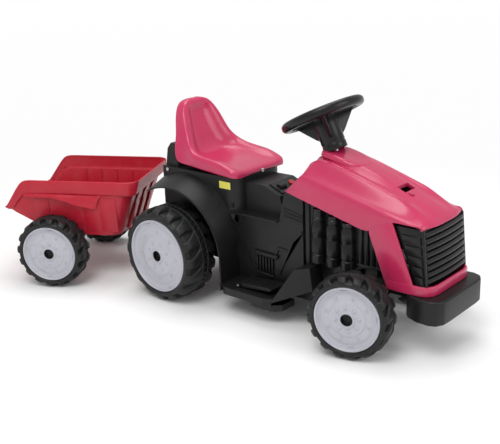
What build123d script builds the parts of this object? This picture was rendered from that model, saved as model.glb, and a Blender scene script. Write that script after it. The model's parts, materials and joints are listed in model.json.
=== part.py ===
from build123d import *
from math import sin, cos, tan, radians, hypot, atan2
import os

os.makedirs("parts", exist_ok=True)

# A battery ride-on toy tractor with a detachable tipping trailer.
# Millimetres, +X forward, +Y to the rider's left, +Z up. The model is built with its
# rear axle over x = 0 and the ground at z = 0, and is moved to its origin at the end.

# ---------------------------------------------------------------- driving dimensions
REAR_R = 123.0             # rear tyre, over the lugs
REAR_W = 105.0
REAR_DISC_R = 96.0
FRONT_R = 97.0             # front and trailer tyres, over the lugs
FRONT_W = 70.0
FRONT_DISC_R = 76.0
WHEELBASE = 552.0
TRACK_OUT = 217.0          # outer face of the rear and trailer wheels from the middle
FRONT_TRACK_OUT = 209.0
LUGS = 16
LUG_H = 11.0
TYRE_SKIN = 3.5
RUN = 0.05                 # radial running clearance of a shaft in its hole
SEAT_GAP = 0.3             # between faces that meet on different bodies
AXLE_R = 6.0
STUB_R = 5.0
HUB_R = 16.0
HUB_HOLE_R = 14.0          # the dark well in front of the axle nut
HUB_BOSS_R = 18.5
HUB_WELL = 26.0            # how deep the nut sits in its well
DISC_SET = 7.0             # the disc's face behind the tyre's outer face
DISC_T = 3.0

WALL = 4.0                 # moulded wall of the body
THIN = 3.0                 # moulded wall of the hood, grille and bumper
BODY_Y = 84.0              # half width of the body's middle box
BODY_BACK_X = -84.0
BODY_FRONT_X = 374.0
BODY_LOW_Z = 106.0         # underside of the body between the rear wheels
LEDGE_Z = 240.0
LEDGE_Y = BODY_Y + 10.0             # the ledge stands out from the wall below it
TUNNEL_X = 152.0           # where the footwells start
PEDESTAL_Y = BODY_Y + 8.0
PEDESTAL_FRONT_X = 178.0
PEDESTAL_TOP_Z = 326.0
PEDESTAL_CORNER_R = 40.0
HUMP_Z = 387.0
FENDER_R = 166.0           # underside of the mudguard at its lip
FENDER_RISE = 26.0         # how much higher it stands at the pedestal
FENDER_LIP_Y = 155.0
FENDER_BACK_DEG = 118.0
FENDER_T = 4.0

FLOOR_Z = 70.0             # top of the footwell floor
STEP_OUT_Y = 170.0
STEP_BACK_X = 193.0
STEP_FRONT_X = 314.0
STEP_BAND = 19.0
STEP_BLOCK_Z = 36.0        # underside of the block below the step
TOE_X = 428.0
TOE_Y = 122.0
TOE_Z = 157.0

HOOD_TOP_Y = BODY_Y - 29.0
HOOD_CREASE_Y = BODY_Y + 2.0
HOOD_SIDE_Y = BODY_Y + 12.0
HOOD_REAR_X = 329.0
HOOD_REAR_Z = 321.0
HOOD_BACK_TOP_X = 407.0
HOOD_KNEE_X = WHEELBASE + 12.0         # where the lower edge turns down into the front pillar
HOOD_KNEE_Z = 262.0
HOOD_PILLAR_X = WHEELBASE + 59.0
HOOD_NOSE_X = WHEELBASE + 145.0
HOOD_NOSE_Z = 297.0
HOOD_TOE_X = WHEELBASE + 169.0
HOOD_RIM_Z = 143.0
GRILLE_LOW_Z = 166.0
GRILLE_BACK_LOW_X = WHEELBASE + 124.0
GRILLE_BACK_TOP_X = WHEELBASE + 70.0
SLOT_X = WHEELBASE + 48.0
SLOT_LEN = 22.0
SLOT_W = 44.0
COWL_TOP_Z = 418.0
COWL_FRONT_X = 508.0
COWL_HALF_W = 44.0

BUMPER_BACK_X = WHEELBASE + 103.0
BUMPER_FRONT_X = WHEELBASE + 198.0
BUMPER_Y = 108.0
BUMPER_LOW_Z = 87.0

ENGINE_Y = BODY_Y - WALL            # outer face of the engine side panels
ENGINE_BACK_X = 379.0
ENGINE_LOW_Z = 162.0
CYLINDER_R = 17.0
CYLINDER_Y = ENGINE_Y + 7.5
CYLINDER_X = (421.0, 463.0, 504.0)
CYLINDER_NECK_R = 13.0
CYLINDER_SHOULDER_Z = 262.0

TRAY_Z = 52.0
TRAY_T = 4.0
TRAY_TOP_Z = 114.0
TRAY_BACK_X = 174.0
TRAY_STEP_X = WHEELBASE - 82.0        # where the tray narrows and rises over the steering
TRAY_FRONT_Y = 45.0
TRAY_FRONT_Z = 111.0
TRAY_FRONT_TOP_Z = 140.0

STEER_LIMIT = 20.0         # either way from straight ahead, at the front wheels
STEER_AT_REST = 15.0       # the wheels are stored turned to the left
STEER_RATIO = 0.8          # turn of the front wheels for each turn of the steering wheel
KNUCKLE_ARM = 35.0
KINGPIN_Y = 105.0
KINGPIN_R = 5.0
BEAM_AHEAD = 18.0          # axle beam's rear face ahead of the kingpins, clear of the column
BEAM_T = 20.0
COLUMN_TILT = 26.0
RING_X = 372.0             # centre of the steering wheel's ring
RING_Z = 492.0
RING_R = 91.0
RING_TUBE_R = 11.5
NECK_R = 29.0
NECK_LEN = 88.0
SPOKES = 3
SPOKE_FIRST_DEG = -54.0
ROD_R = 5.0
ROD_END_Z = 104.0
PEG_R = 4.0
PEG_PLAY = 1.6             # play of the crank's peg in the track rod
ARM_PLAY = 0.8             # play of the knuckle pegs in the track rod
TIE_Z = 70.0
TIE_T = 6.0
TIE_W = 20.0

HITCH_X = -145.0           # towing pin
HITCH_PIN_R = 6.0
TONGUE_T = 8.0
DRAWBAR_T = 10.0
TRAILER_AXLE_BACK = 295.0  # axle behind the towing pin
SWING_AT_REST = 28.0       # the trailer is stored swung, its tail to the right
TUB_HALF_W = 148.0
TUB_FOOT_HALF_W = 130.0
TUB_TOP_Z = 284.0
TUB_FLOOR_Z = 127.0
TUB_FRONT = 57.0           # front of the rim behind the towing pin
TUB_FOOT_FRONT = 120.0
TUB_FOOT_BACK = 310.0
TUB_TAIL = 448.0
TUB_TAIL_Z = 203.0
TUB_RIM_BACK = 386.0
TUB_WALL = 4.0
RIM_BAND = 38.0
RIM_OUT = 6.0
FLARE_OUT = 20.0
FLARE_Z = 209.0
FLARE_FRONT = 179.0
FLARE_BACK = 418.0

SEAT_Y = 103.0
SEAT_BACK_X = -26.0
SEAT_TOP_BACK_X = -60.0     # the back leans
SEAT_FRONT_X = 182.0
SEAT_REAR_Z = 342.0
SEAT_FRONT_Z = 327.0
SEAT_PAN_Z = 352.0
SEAT_TOP_Z = 496.0
SEAT_WALL = 5.0
SEAT_RIM = 22.0             # width of the rolled rim round the hollow

BATTERY_L, BATTERY_W, BATTERY_H = 98.0, 50.0, 94.0
PEDAL_L, PEDAL_W, PEDAL_H = 96.0, 52.0, 16.0
BUTTON_R, BUTTON_TRAVEL = 9.0, 2.0
SOCKET_X, SOCKET_Z = 84.0, 312.0
SOCKET_R, SOCKET_BORE_R = 6.8, 2.8

TRAILER_AXLE = Vector(HITCH_X - TRAILER_AXLE_BACK, 0, FRONT_R)
KINGPIN_X = WHEELBASE
BUMPER_TOP_Z = HOOD_RIM_Z - SEAT_GAP
TRAY_FRONT_X = BUMPER_BACK_X - SEAT_GAP
TRAY_Y = BODY_Y - WALL - SEAT_GAP   # the chassis tray fills the middle of the body
RING = Vector(RING_X, 0, RING_Z)
COLUMN_DOWN = Vector(sin(radians(COLUMN_TILT)), 0, -cos(radians(COLUMN_TILT)))
COLUMN_UP = COLUMN_DOWN * -1
WHEEL_TURN_AT_REST = STEER_AT_REST / STEER_RATIO
CRANK = KNUCKLE_ARM * STEER_RATIO

nodes = {}


# ---------------------------------------------------------------- small helpers
def keep(name, shape):
    nodes[name] = shape
    return shape


def block(x0, x1, y0, y1, z0, z1):
    return Pos((x0 + x1) / 2, (y0 + y1) / 2, (z0 + z1) / 2) * Box(x1 - x0, y1 - y0, z1 - z0)


def slab(points, y0, y1):
    """An outline given as (x, z) points, from y0 to y1."""
    face = Face(Wire.make_polygon([(x, y0, z) for x, z in points], close=True))
    return extrude(face, amount=y1 - y0, dir=(0, 1, 0))


def plate(points, z0, z1):
    """An outline given as (x, y) points, from z0 to z1."""
    face = Face(Wire.make_polygon([(x, y, z0) for x, y in points], close=True))
    return extrude(face, amount=z1 - z0, dir=(0, 0, 1))


def rod(start, end, radius):
    start, end = Vector(*start), Vector(*end)
    along = end - start
    return Plane(origin=start, z_dir=along) * Cylinder(
        radius, along.length, align=(Align.CENTER, Align.CENTER, Align.MIN))


def upright(x, y, z0, z1, radius):
    return rod((x, y, z0), (x, y, z1), radius)


def across(x, z, y0, y1, radius):
    return rod((x, y0, z), (x, y1, z), radius)


def both(shape):
    """A piece on the right and its mirror image on the left, as one."""
    return shape + mirror(shape, about=Plane.XZ)


def left_of(shape):
    return mirror(shape, about=Plane.XZ)


def ring(outer, inner, z0, z1):
    low = (Align.CENTER, Align.CENTER, Align.MIN)
    return Pos(0, 0, z0) * (Cylinder(outer, z1 - z0, align=low)
                            - Cylinder(inner, z1 - z0, align=low))


def sector(outer, inner, z0, z1, mid_deg, width_deg):
    """A block of a ring, such as one lug."""
    half = radians(width_deg) / 2
    reach = outer * 1.5
    wedge = Polyline((0, 0), (reach * cos(half), -reach * sin(half)),
                     (reach * cos(half), reach * sin(half)), close=True)
    cut = Pos(0, 0, z0) * extrude(make_face(wedge), amount=z1 - z0)
    return Rot(0, 0, mid_deg) * (ring(outer, inner, z0, z1) & cut)


# ---------------------------------------------------------------- wheels
def tyre(radius, width, disc_r):
    """Axis along Z, outer face up at z = width; one lug of each row points along +Y."""
    valley = radius - LUG_H
    shoulder = 0.55 * width
    inner_row = 0.28 * width
    band_r = radius - 0.35 * LUG_H
    edge = 6.0
    skin = revolve(make_face(Plane.XZ * Polyline(
        (disc_r, 0), (valley - edge, 0), (valley, edge), (valley, width - edge),
        (valley - edge, width), (disc_r, width), (disc_r, width - TYRE_SKIN),
        (valley - edge - 1, width - TYRE_SKIN), (valley - TYRE_SKIN, width - edge - TYRE_SKIN),
        (valley - TYRE_SKIN, edge + TYRE_SKIN), (valley - edge - 1, TYRE_SKIN),
        (disc_r, TYRE_SKIN), close=True)), axis=Axis.Z)
    body = skin + ring(band_r, valley - 1, inner_row, shoulder)
    pitch = 360 / LUGS
    for k in range(LUGS):
        turn = 90 + k * pitch
        body += sector(radius, valley - 2, shoulder - 1, width - edge, turn, 0.52 * pitch)
        body += sector(radius, valley - 2, edge, inner_row + 1, turn + pitch / 2, 0.52 * pitch)
    return body


def rim(width, disc_r, bore_r):
    """Disc, barrel and hub in one moulding, axis along Z, outer face up."""
    out_r = disc_r - 0.2
    face_z = width - DISC_SET
    well_z = width - HUB_WELL
    body = ring(out_r, out_r - THIN, 12, width - 1.5)
    body += ring(out_r, HUB_HOLE_R, face_z - DISC_T, face_z)
    body += ring(out_r - THIN + 0.5, out_r - 9, face_z - 1, face_z + 3)
    body += ring(HUB_BOSS_R, HUB_HOLE_R, well_z - DISC_T, face_z + 3)
    body += ring(HUB_BOSS_R, bore_r, well_z - DISC_T, well_z)
    body += ring(HUB_R, bore_r, 4, well_z)
    ribs = 6
    for k in range(ribs):
        rib = block(HUB_R - 1, out_r - THIN + 1, -1.5, 1.5, 14, face_z - 1)
        body += Rot(0, 0, k * 360 / ribs) * rib
    bolts = 8
    for k in range(bolts):
        body += Rot(0, 0, k * 360 / bolts) * upright(28, 0, face_z - 1, face_z + 2, 3.2)
    return body


def on_side(shape, x, z, inner_y, side):
    """Stands a wheel piece on its axle; side is -1 for the right and 1 for the left."""
    return Pos(x, side * inner_y, z) * Rot(-90 * side, 0, 0) * shape


def nut(y_face, x, z, bore_r, side):
    """A washer and a self-locking nut on an axle's end, outwards from y_face."""
    washer = across(x, z, y_face, y_face + 1.5, 11)
    hexagon = extrude(RegularPolygon(9.0, 6), amount=8)
    body = washer + Pos(x, y_face + 1.5, z) * Rot(-90, 0, 0) * hexagon
    body -= across(x, z, y_face - 1, y_face + 12, bore_r)
    return body if side > 0 else left_of(body)


def spin_about(shape, centre, direction, angle):
    return shape.rotate(Axis(centre, direction), angle)


def steered(shape, side):
    """Turns a front wheel piece about its kingpin to where it is stored."""
    return spin_about(shape, (KINGPIN_X, side * KINGPIN_Y, 0), (0, 0, 1), STEER_AT_REST)


def swung(shape):
    """Swings a trailer piece about the towing pin to where it is stored."""
    return spin_about(shape, (HITCH_X, 0, 0), (0, 0, 1), SWING_AT_REST)


def turned(shape):
    """Turns a steering wheel piece about the column to where it is stored."""
    return spin_about(shape, tuple(RING), tuple(COLUMN_UP), WHEEL_TURN_AT_REST)


def make_wheels():
    rear_tyre, rear_rim = tyre(REAR_R, REAR_W, REAR_DISC_R), rim(REAR_W, REAR_DISC_R, AXLE_R + RUN)
    front_tyre = tyre(FRONT_R, FRONT_W, FRONT_DISC_R)
    front_rim = rim(FRONT_W, FRONT_DISC_R, STUB_R + RUN)
    trailer_rim = rim(FRONT_W, FRONT_DISC_R, AXLE_R + RUN)
    well = HUB_WELL - SEAT_GAP
    for side, name in ((-1, "right"), (1, "left")):
        inner = TRACK_OUT - REAR_W
        keep(f"rear_tyre_{name}", on_side(rear_tyre, 0, REAR_R, inner, side))
        keep(f"rear_rim_{name}", on_side(rear_rim, 0, REAR_R, inner, side))
        inner = FRONT_TRACK_OUT - FRONT_W
        keep(f"front_tyre_{name}",
             steered(on_side(front_tyre, WHEELBASE, FRONT_R, inner, side), side))
        keep(f"front_rim_{name}",
             steered(on_side(front_rim, WHEELBASE, FRONT_R, inner, side), side))
        keep(f"front_axle_nut_{name}",
             steered(nut(FRONT_TRACK_OUT - well, WHEELBASE, FRONT_R, STUB_R, side), side))
        inner = TRACK_OUT - FRONT_W
        keep(f"trailer_tyre_{name}", swung(on_side(front_tyre, TRAILER_AXLE.X, FRONT_R, inner, side)))
        keep(f"trailer_rim_{name}", swung(on_side(trailer_rim, TRAILER_AXLE.X, FRONT_R, inner, side)))
    keep("rear_axle_nuts", nut(TRACK_OUT - well, 0, REAR_R, AXLE_R, 1)
         + nut(TRACK_OUT - well, 0, REAR_R, AXLE_R, -1))
    keep("trailer_axle_nuts", swung(nut(TRACK_OUT - well, TRAILER_AXLE.X, FRONT_R, AXLE_R, 1)
                                    + nut(TRACK_OUT - well, TRAILER_AXLE.X, FRONT_R, AXLE_R, -1)))


# ---------------------------------------------------------------- body
def rounded_box(x0, x1, half_y, z0, z1, front_r):
    body = block(x0, x1, -half_y, half_y, z0, z1)
    corners = body.edges().filter_by(Axis.Z).sort_by(Axis.X)[-2:]
    return fillet(corners, front_r)


def pedestal():
    """The box under the seat, with the hump behind it, open underneath."""
    shape = rounded_box(BODY_BACK_X, PEDESTAL_FRONT_X, PEDESTAL_Y, BODY_LOW_Z, PEDESTAL_TOP_Z,
                        PEDESTAL_CORNER_R)
    inner = rounded_box(BODY_BACK_X + WALL, PEDESTAL_FRONT_X - WALL, PEDESTAL_Y - WALL,
                        BODY_LOW_Z - 1, PEDESTAL_TOP_Z - WALL, PEDESTAL_CORNER_R - WALL)
    hump = slab([(BODY_BACK_X, PEDESTAL_TOP_Z - WALL), (BODY_BACK_X + 9, 371), (-62, HUMP_Z),
                 (-46, HUMP_Z), (-38, PEDESTAL_TOP_Z - WALL)], -80, 80)
    hump_inner = slab([(BODY_BACK_X + WALL, PEDESTAL_TOP_Z - 9), (BODY_BACK_X + 13, 368),
                       (-60, HUMP_Z - WALL), (-50, HUMP_Z - WALL), (-43, PEDESTAL_TOP_Z - 9)],
                      -76, 76)
    return (shape - inner) + hump - hump_inner


def tunnel():
    """The box between the footwells, open underneath, from the pedestal to the engine."""
    high = LEDGE_Z
    outline = [(TUNNEL_X, FLOOR_Z - 6), (BODY_FRONT_X, FLOOR_Z - 6), (BODY_FRONT_X, 345),
               (HOOD_REAR_X + 22, 334), (HOOD_REAR_X - 10, 312), (302, high), (TUNNEL_X, high)]
    inner = [(TUNNEL_X + WALL, FLOOR_Z - 9), (BODY_FRONT_X - WALL, FLOOR_Z - 9),
             (BODY_FRONT_X - WALL, 345 - 6), (HOOD_REAR_X + 24, 329), (HOOD_REAR_X - 8, 309),
             (300, high - WALL), (TUNNEL_X + WALL, high - WALL)]
    body = slab(outline, -BODY_Y, BODY_Y) - slab(inner, -BODY_Y + WALL, BODY_Y - WALL)
    ledge = slab([(TUNNEL_X, high - WALL), (299, high - WALL), (300, high), (TUNNEL_X, high)],
                 -LEDGE_Y, -BODY_Y + 1)
    tray_gap = block(BODY_FRONT_X - WALL - 1, BODY_FRONT_X + 1, -TRAY_Y - SEAT_GAP,
                     TRAY_Y + SEAT_GAP, 0, TRAY_TOP_Z + SEAT_GAP)
    return body + both(ledge) - tray_gap


def console():
    """The sloping box in front of the seat that carries the switches."""
    outline = [(PEDESTAL_FRONT_X - WALL, LEDGE_Z - 1), (300, LEDGE_Z - 1), (284, 292),
               (236, 312), (PEDESTAL_FRONT_X - WALL, 312)]
    inner = [(PEDESTAL_FRONT_X - 5, LEDGE_Z - 6), (294, LEDGE_Z - 6), (280, 289),
             (235, 308), (PEDESTAL_FRONT_X - 5, 308)]
    return slab(outline, -58, 58) - slab(inner, -58 + WALL, 58 - WALL)


def arch_outline(y, rise):
    """A mudguard's section at y: an arch over the wheel, then straight down."""
    back, top = radians(FENDER_BACK_DEG), radians(60)
    inner, outer = FENDER_R, FENDER_R + FENDER_T
    centre_z = REAR_R + rise
    foot_z = FLOOR_Z - 6

    def at(r, a):
        return (r * cos(a), centre_z + r * sin(a))
    edges = (ThreePointArc(at(inner, 0), at(inner, top), at(inner, back))
             + Line(at(inner, back), at(outer, back))
             + ThreePointArc(at(outer, back), at(outer, top), at(outer, 0))
             + Line(at(outer, 0), (outer, foot_z)) + Line((outer, foot_z), (inner, foot_z))
             + Line((inner, foot_z), at(inner, 0)))
    return make_face(Plane(origin=(0, y, 0), x_dir=(1, 0, 0), z_dir=(0, -1, 0)) * edges)


def fender():
    """The right mudguard, from its lip up and in to the pedestal."""
    lip = arch_outline(-FENDER_LIP_Y, 0)
    root = arch_outline(-PEDESTAL_Y + 2, FENDER_RISE)
    skin = loft([lip, root], ruled=True)
    return skin + extrude(lip, amount=3, dir=(0, -1, 0))


def footwell():
    """The right floor with its step edge, sloping toe board and block underneath."""
    low = FLOOR_Z - STEP_BAND
    back = FENDER_R
    outline = [(back, low), (STEP_FRONT_X, low), (TOE_X, 100), (TOE_X - 6, TOE_Z),
               (387, TOE_Z - 7), (338, FLOOR_Z), (back, FLOOR_Z)]
    under = [(back + WALL, low - 1), (STEP_FRONT_X - 1, low - 1), (TOE_X - 5, 100),
             (TOE_X - 10, TOE_Z - WALL), (390, TOE_Z - 12), (340, FLOOR_Z - WALL),
             (back + WALL, FLOOR_Z - WALL)]
    solid = slab(outline, -STEP_OUT_Y, -BODY_Y + 1)
    solid -= slab(under, -STEP_OUT_Y + WALL, -BODY_Y + 2)
    solid &= plate([(back, -BODY_Y + 1), (back, -FENDER_LIP_Y - 3), (STEP_BACK_X, -STEP_OUT_Y),
                    (STEP_FRONT_X, -STEP_OUT_Y), (TOE_X, -TOE_Y), (TOE_X, -BODY_Y + 1)], 0, 400)
    side = hypot(TOE_X - STEP_FRONT_X, STEP_OUT_Y - TOE_Y)
    slope = Plane(origin=(STEP_FRONT_X, -STEP_OUT_Y, 0),
                  x_dir=((TOE_X - STEP_FRONT_X) / side, (STEP_OUT_Y - TOE_Y) / side, 0),
                  z_dir=(0, 0, 1))
    skirt = slope * block(0, side, 0, WALL, 0, 400)
    skirt &= slab(outline, -STEP_OUT_Y, -BODY_Y)
    rear_wall = block(back, back + WALL, -PEDESTAL_Y - 1, -BODY_Y + 1, low, REAR_R)
    foot = plate([(268, -STEP_OUT_Y + 12), (330, -STEP_OUT_Y + 12), (352, -STEP_OUT_Y + 30),
                  (352, -BODY_Y - 10), (268, -BODY_Y - 10)], STEP_BLOCK_Z, low + 1)
    foot -= plate([(272, -STEP_OUT_Y + 16), (329, -STEP_OUT_Y + 16), (348, -STEP_OUT_Y + 32),
                   (348, -BODY_Y - 14), (272, -BODY_Y - 14)], STEP_BLOCK_Z - 1, low - 3)
    posts = plate([(268, -STEP_OUT_Y + 12), (330, -STEP_OUT_Y + 12), (330, -STEP_OUT_Y + 16),
                   (268, -STEP_OUT_Y + 16)], STEP_BLOCK_Z, FLOOR_Z - 1)
    posts += block(268, 272, -STEP_OUT_Y + 12, -BODY_Y + 1, STEP_BLOCK_Z, FLOOR_Z - 1)
    return solid + skirt + rear_wall + foot + posts


def make_body():
    body = pedestal() + tunnel()
    room = block(TUNNEL_X - 1, PEDESTAL_FRONT_X + 1, -BODY_Y + WALL, BODY_Y - WALL,
                 BODY_LOW_Z, LEDGE_Z - WALL)
    body -= room
    body += console()
    body += both(fender())
    body += both(footwell())
    body -= across(0, REAR_R, -PEDESTAL_Y - 2, PEDESTAL_Y + 2, AXLE_R + SEAT_GAP)
    body -= block(-33, 75, -40, 40, PEDESTAL_TOP_Z - 8, PEDESTAL_TOP_Z + 1)
    body -= across(0, REAR_R, PEDESTAL_Y - WALL - 2, PEDESTAL_Y + 2, 27)
    ears = block(150, 160, -PEDESTAL_Y + WALL - 1, -70, 250, 262)
    body += both(ears)
    keep("main_body", body)


# ---------------------------------------------------------------- hood, grille, bumper
HOOD_TOP = ((300, 418), (407, 410), (465, 402), (HOOD_NOSE_X - 150, 386), (HOOD_NOSE_X - 72, 360),
            (HOOD_NOSE_X - 26, 337), (HOOD_NOSE_X + 5, 306), (HOOD_NOSE_X + 38, 262))


def hood_edge_z(x):
    """Height of the hood's lower edge between its rear corner and the knee."""
    slope = (HOOD_REAR_Z - HOOD_KNEE_Z) / (HOOD_KNEE_X - HOOD_REAR_X)
    return HOOD_REAR_Z - slope * (x - HOOD_REAR_X)


def crease_z(x):
    return 372 - 0.232 * (x - 371)


def hood_section(x, top, inset, low):
    side, crease, crown = HOOD_SIDE_Y - inset, HOOD_CREASE_Y - inset, HOOD_TOP_Y - inset / 2
    narrow = 1 - 0.10 * max(0.0, (x - HOOD_NOSE_X + 57) / 95)
    line = crease_z(x) - inset
    points = [(-side, low), (-crease, min(line, top - inset - 3)), (-crown, top - inset),
              (crown, top - inset), (crease, min(line, top - inset - 3)), (side, low)]
    return Face(Wire.make_polygon([(x, y * narrow, z) for y, z in points], close=True))


def hood_envelope(inset, low):
    return loft([hood_section(x, top, inset, low) for x, top in HOOD_TOP], ruled=True)


def cowl(grow):
    """The rounded bulge round the steering column."""
    top = COWL_TOP_Z + grow
    half = COWL_HALF_W + grow
    return slab([(340, 340), (372, top - 6), (384, top), (440, top - 4), (COWL_FRONT_X, 388),
                 (COWL_FRONT_X, 340)], -half, half)


def make_hood():
    shell = (hood_envelope(0, HOOD_RIM_Z) + cowl(0)) - hood_envelope(THIN, HOOD_RIM_Z - 5)
    shell -= cowl(-THIN)
    outline = slab([(HOOD_REAR_X, HOOD_REAR_Z), (HOOD_BACK_TOP_X - 32, 372), (372, 425),
                    (HOOD_NOSE_X + 8, 425), (HOOD_NOSE_X + 8, HOOD_NOSE_Z - 8),
                    (HOOD_TOE_X, HOOD_RIM_Z + 14), (HOOD_TOE_X - 8, HOOD_RIM_Z),
                    (HOOD_PILLAR_X, HOOD_RIM_Z), (HOOD_KNEE_X, HOOD_KNEE_Z)], -120, 120)
    shell = shell & outline
    window = slab([(GRILLE_BACK_TOP_X, 300), (GRILLE_BACK_LOW_X, GRILLE_LOW_Z),
                   (HOOD_TOE_X + 39, GRILLE_LOW_Z), (HOOD_TOE_X + 39, 286), (HOOD_NOSE_X - 10, 286)],
                  -120, 120)
    shell -= window
    front_rim = slab([(HOOD_TOE_X - 10, HOOD_RIM_Z), (HOOD_TOE_X - 1, HOOD_RIM_Z),
                      (HOOD_TOE_X, HOOD_RIM_Z + 14), (HOOD_TOE_X - 3, GRILLE_LOW_Z),
                      (HOOD_TOE_X - 10, GRILLE_LOW_Z)], -84, 84)
    shell += front_rim
    shell -= block(SLOT_X - SLOT_LEN / 2, SLOT_X + SLOT_LEN / 2, -SLOT_W / 2, SLOT_W / 2, 300, 440)
    shell -= rod(tuple(RING), tuple(RING + COLUMN_DOWN * 160), ROD_R + 4)
    neck_top = RING + COLUMN_DOWN * (NECK_LEN - 40)
    shell -= rod(tuple(neck_top), tuple(neck_top + COLUMN_DOWN * 42), NECK_R + 1.5)
    keep("hood", shell)


def grille_outline(inset, back):
    return slab([(GRILLE_BACK_TOP_X + back, 286 - inset), (GRILLE_BACK_LOW_X + 4, GRILLE_LOW_Z + inset),
                 (HOOD_TOE_X - 7 - inset, GRILLE_LOW_Z + inset),
                 (HOOD_NOSE_X + 2 - inset, 286 - inset)], -83 + inset, 83 - inset)


def make_grille():
    gap = SEAT_GAP
    body = grille_outline(gap, 12) - grille_outline(THIN + gap, 0)
    louvres = 7
    pitch = (286 - GRILLE_LOW_Z - 20) / louvres
    for k in range(louvres):
        z = GRILLE_LOW_Z + 10 + (k + 0.5) * pitch
        x = HOOD_TOE_X - 8 - (z - GRILLE_LOW_Z) * (HOOD_TOE_X - HOOD_NOSE_X - 9) / 120
        body += slab([(x - 4, z - pitch * 0.42), (x + 3.5, z - pitch * 0.3),
                      (x + 1.5, z + pitch * 0.3), (x - 4, z + pitch * 0.42)], -70, 70)
    keep("grille", body)


def bumper_plan(inset, z0, z1):
    y = BUMPER_Y - inset
    back = BUMPER_BACK_X + inset
    front = BUMPER_FRONT_X - inset
    half = [(back, y - 22), (back + 45, y), (front - 16, y - 2), (front - 4, y - 12), (front, y - 26)]
    points = [(px, -py) for px, py in half] + [(px, py) for px, py in reversed(half)]
    return plate(points, z0, z1)


def make_bumper():
    body = bumper_plan(0, BUMPER_LOW_Z, BUMPER_TOP_Z)
    top_edges = body.faces().sort_by(Axis.Z)[-1].edges()
    body = chamfer(top_edges, 3)
    body -= bumper_plan(THIN, BUMPER_LOW_Z - 1, BUMPER_TOP_Z - THIN)
    tongue_slot = block(BUMPER_BACK_X - 1, BUMPER_BACK_X + THIN + 1, -TRAY_FRONT_Y - 1,
                        TRAY_FRONT_Y + 1, TRAY_FRONT_Z - 1, BUMPER_TOP_Z - THIN)
    ribs = both(block(BUMPER_BACK_X + 1, BUMPER_FRONT_X - 5, -60, -57, BUMPER_LOW_Z + 4, BUMPER_TOP_Z - 1))
    keep("bumper", body + ribs - tongue_slot)


def engine_side():
    """The right engine cover: three stepped cylinders and a ribbed panel on one sheet."""
    inner_y = -ENGINE_Y + THIN
    sheet_low = ENGINE_LOW_Z - 30
    knee, pillar = HOOD_KNEE_X, HOOD_PILLAR_X
    sheet = slab([(ENGINE_BACK_X, sheet_low), (ENGINE_BACK_X, 340), (470, 328), (knee - 4, 300),
                  (pillar - 5, 262), (pillar + 17, ENGINE_LOW_Z + 14), (knee - 4, ENGINE_LOW_Z + 14),
                  (knee - 44, ENGINE_LOW_Z), (knee - 64, sheet_low)], -ENGINE_Y, inner_y)
    relief = None
    for x in CYLINDER_X:
        barrel = upright(x, -CYLINDER_Y, ENGINE_LOW_Z, CYLINDER_SHOULDER_Z, CYLINDER_R)
        barrel += upright(x, -CYLINDER_Y, CYLINDER_SHOULDER_Z, 330, CYLINDER_NECK_R)
        relief = barrel if relief is None else relief + barrel
    for k in range(4):
        x = HOOD_KNEE_X - 30 + 17 * k
        relief += block(x, x + 9, -ENGINE_Y - 4, -ENGINE_Y + 1, ENGINE_LOW_Z + 16, 300)
    gap = 1.0
    below_hood = slab([(ENGINE_BACK_X, 100), (ENGINE_BACK_X, hood_edge_z(ENGINE_BACK_X) - gap),
                       (HOOD_KNEE_X - gap, HOOD_KNEE_Z - gap), (HOOD_PILLAR_X - gap, HOOD_RIM_Z),
                       (HOOD_PILLAR_X - gap, 100)], -120, inner_y)
    return sheet + (relief & below_hood)


def make_engine_sides():
    right = engine_side()
    keep("engine_cover_right", right)
    keep("engine_cover_left", left_of(right))


# ---------------------------------------------------------------- chassis and steering
def column_x(z):
    return RING_X + (RING_Z - z) * tan(radians(COLUMN_TILT))


def make_chassis():
    deep = block(TRAY_BACK_X, TRAY_STEP_X, -TRAY_Y, TRAY_Y, TRAY_Z, TRAY_TOP_Z)
    deep -= block(TRAY_BACK_X + TRAY_T, TRAY_STEP_X - TRAY_T, -TRAY_Y + TRAY_T, TRAY_Y - TRAY_T,
                  TRAY_Z + TRAY_T, 200)
    front = block(TRAY_STEP_X - TRAY_T, TRAY_FRONT_X, -TRAY_FRONT_Y, TRAY_FRONT_Y,
                  TRAY_FRONT_Z, TRAY_FRONT_TOP_Z)
    front -= block(TRAY_STEP_X - 10, TRAY_FRONT_X - TRAY_T, -TRAY_FRONT_Y + TRAY_T,
                   TRAY_FRONT_Y - TRAY_T, TRAY_FRONT_Z + TRAY_T, 200)
    wing_y = ENGINE_Y - THIN - SEAT_GAP
    wing = both(block(400, TRAY_STEP_X - TRAY_T, -wing_y, -wing_y + TRAY_T, TRAY_TOP_Z - 14,
                      ENGINE_LOW_Z - 22))
    shelf = both(block(600, TRAY_FRONT_X, -wing_y, -TRAY_FRONT_Y + 1, TRAY_FRONT_TOP_Z - 8,
                       TRAY_FRONT_TOP_Z))
    body = deep + front + wing + shelf
    body -= block(column_x(TRAY_FRONT_TOP_Z) - 22, 567, -22, 22, 100, TRAY_FRONT_Z + TRAY_T + 1)
    keep("chassis_tray", body)


def make_steering_bracket():
    mid = TRAY_FRONT_TOP_Z + 9
    x = column_x(mid)
    body = block(x - 16, x + 16, -TRAY_FRONT_Y, TRAY_FRONT_Y, TRAY_FRONT_TOP_Z + SEAT_GAP, mid + 9)
    body -= rod(tuple(RING), tuple(RING + COLUMN_DOWN * 480), ROD_R + RUN)
    keep("steering_bush", body)


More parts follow.
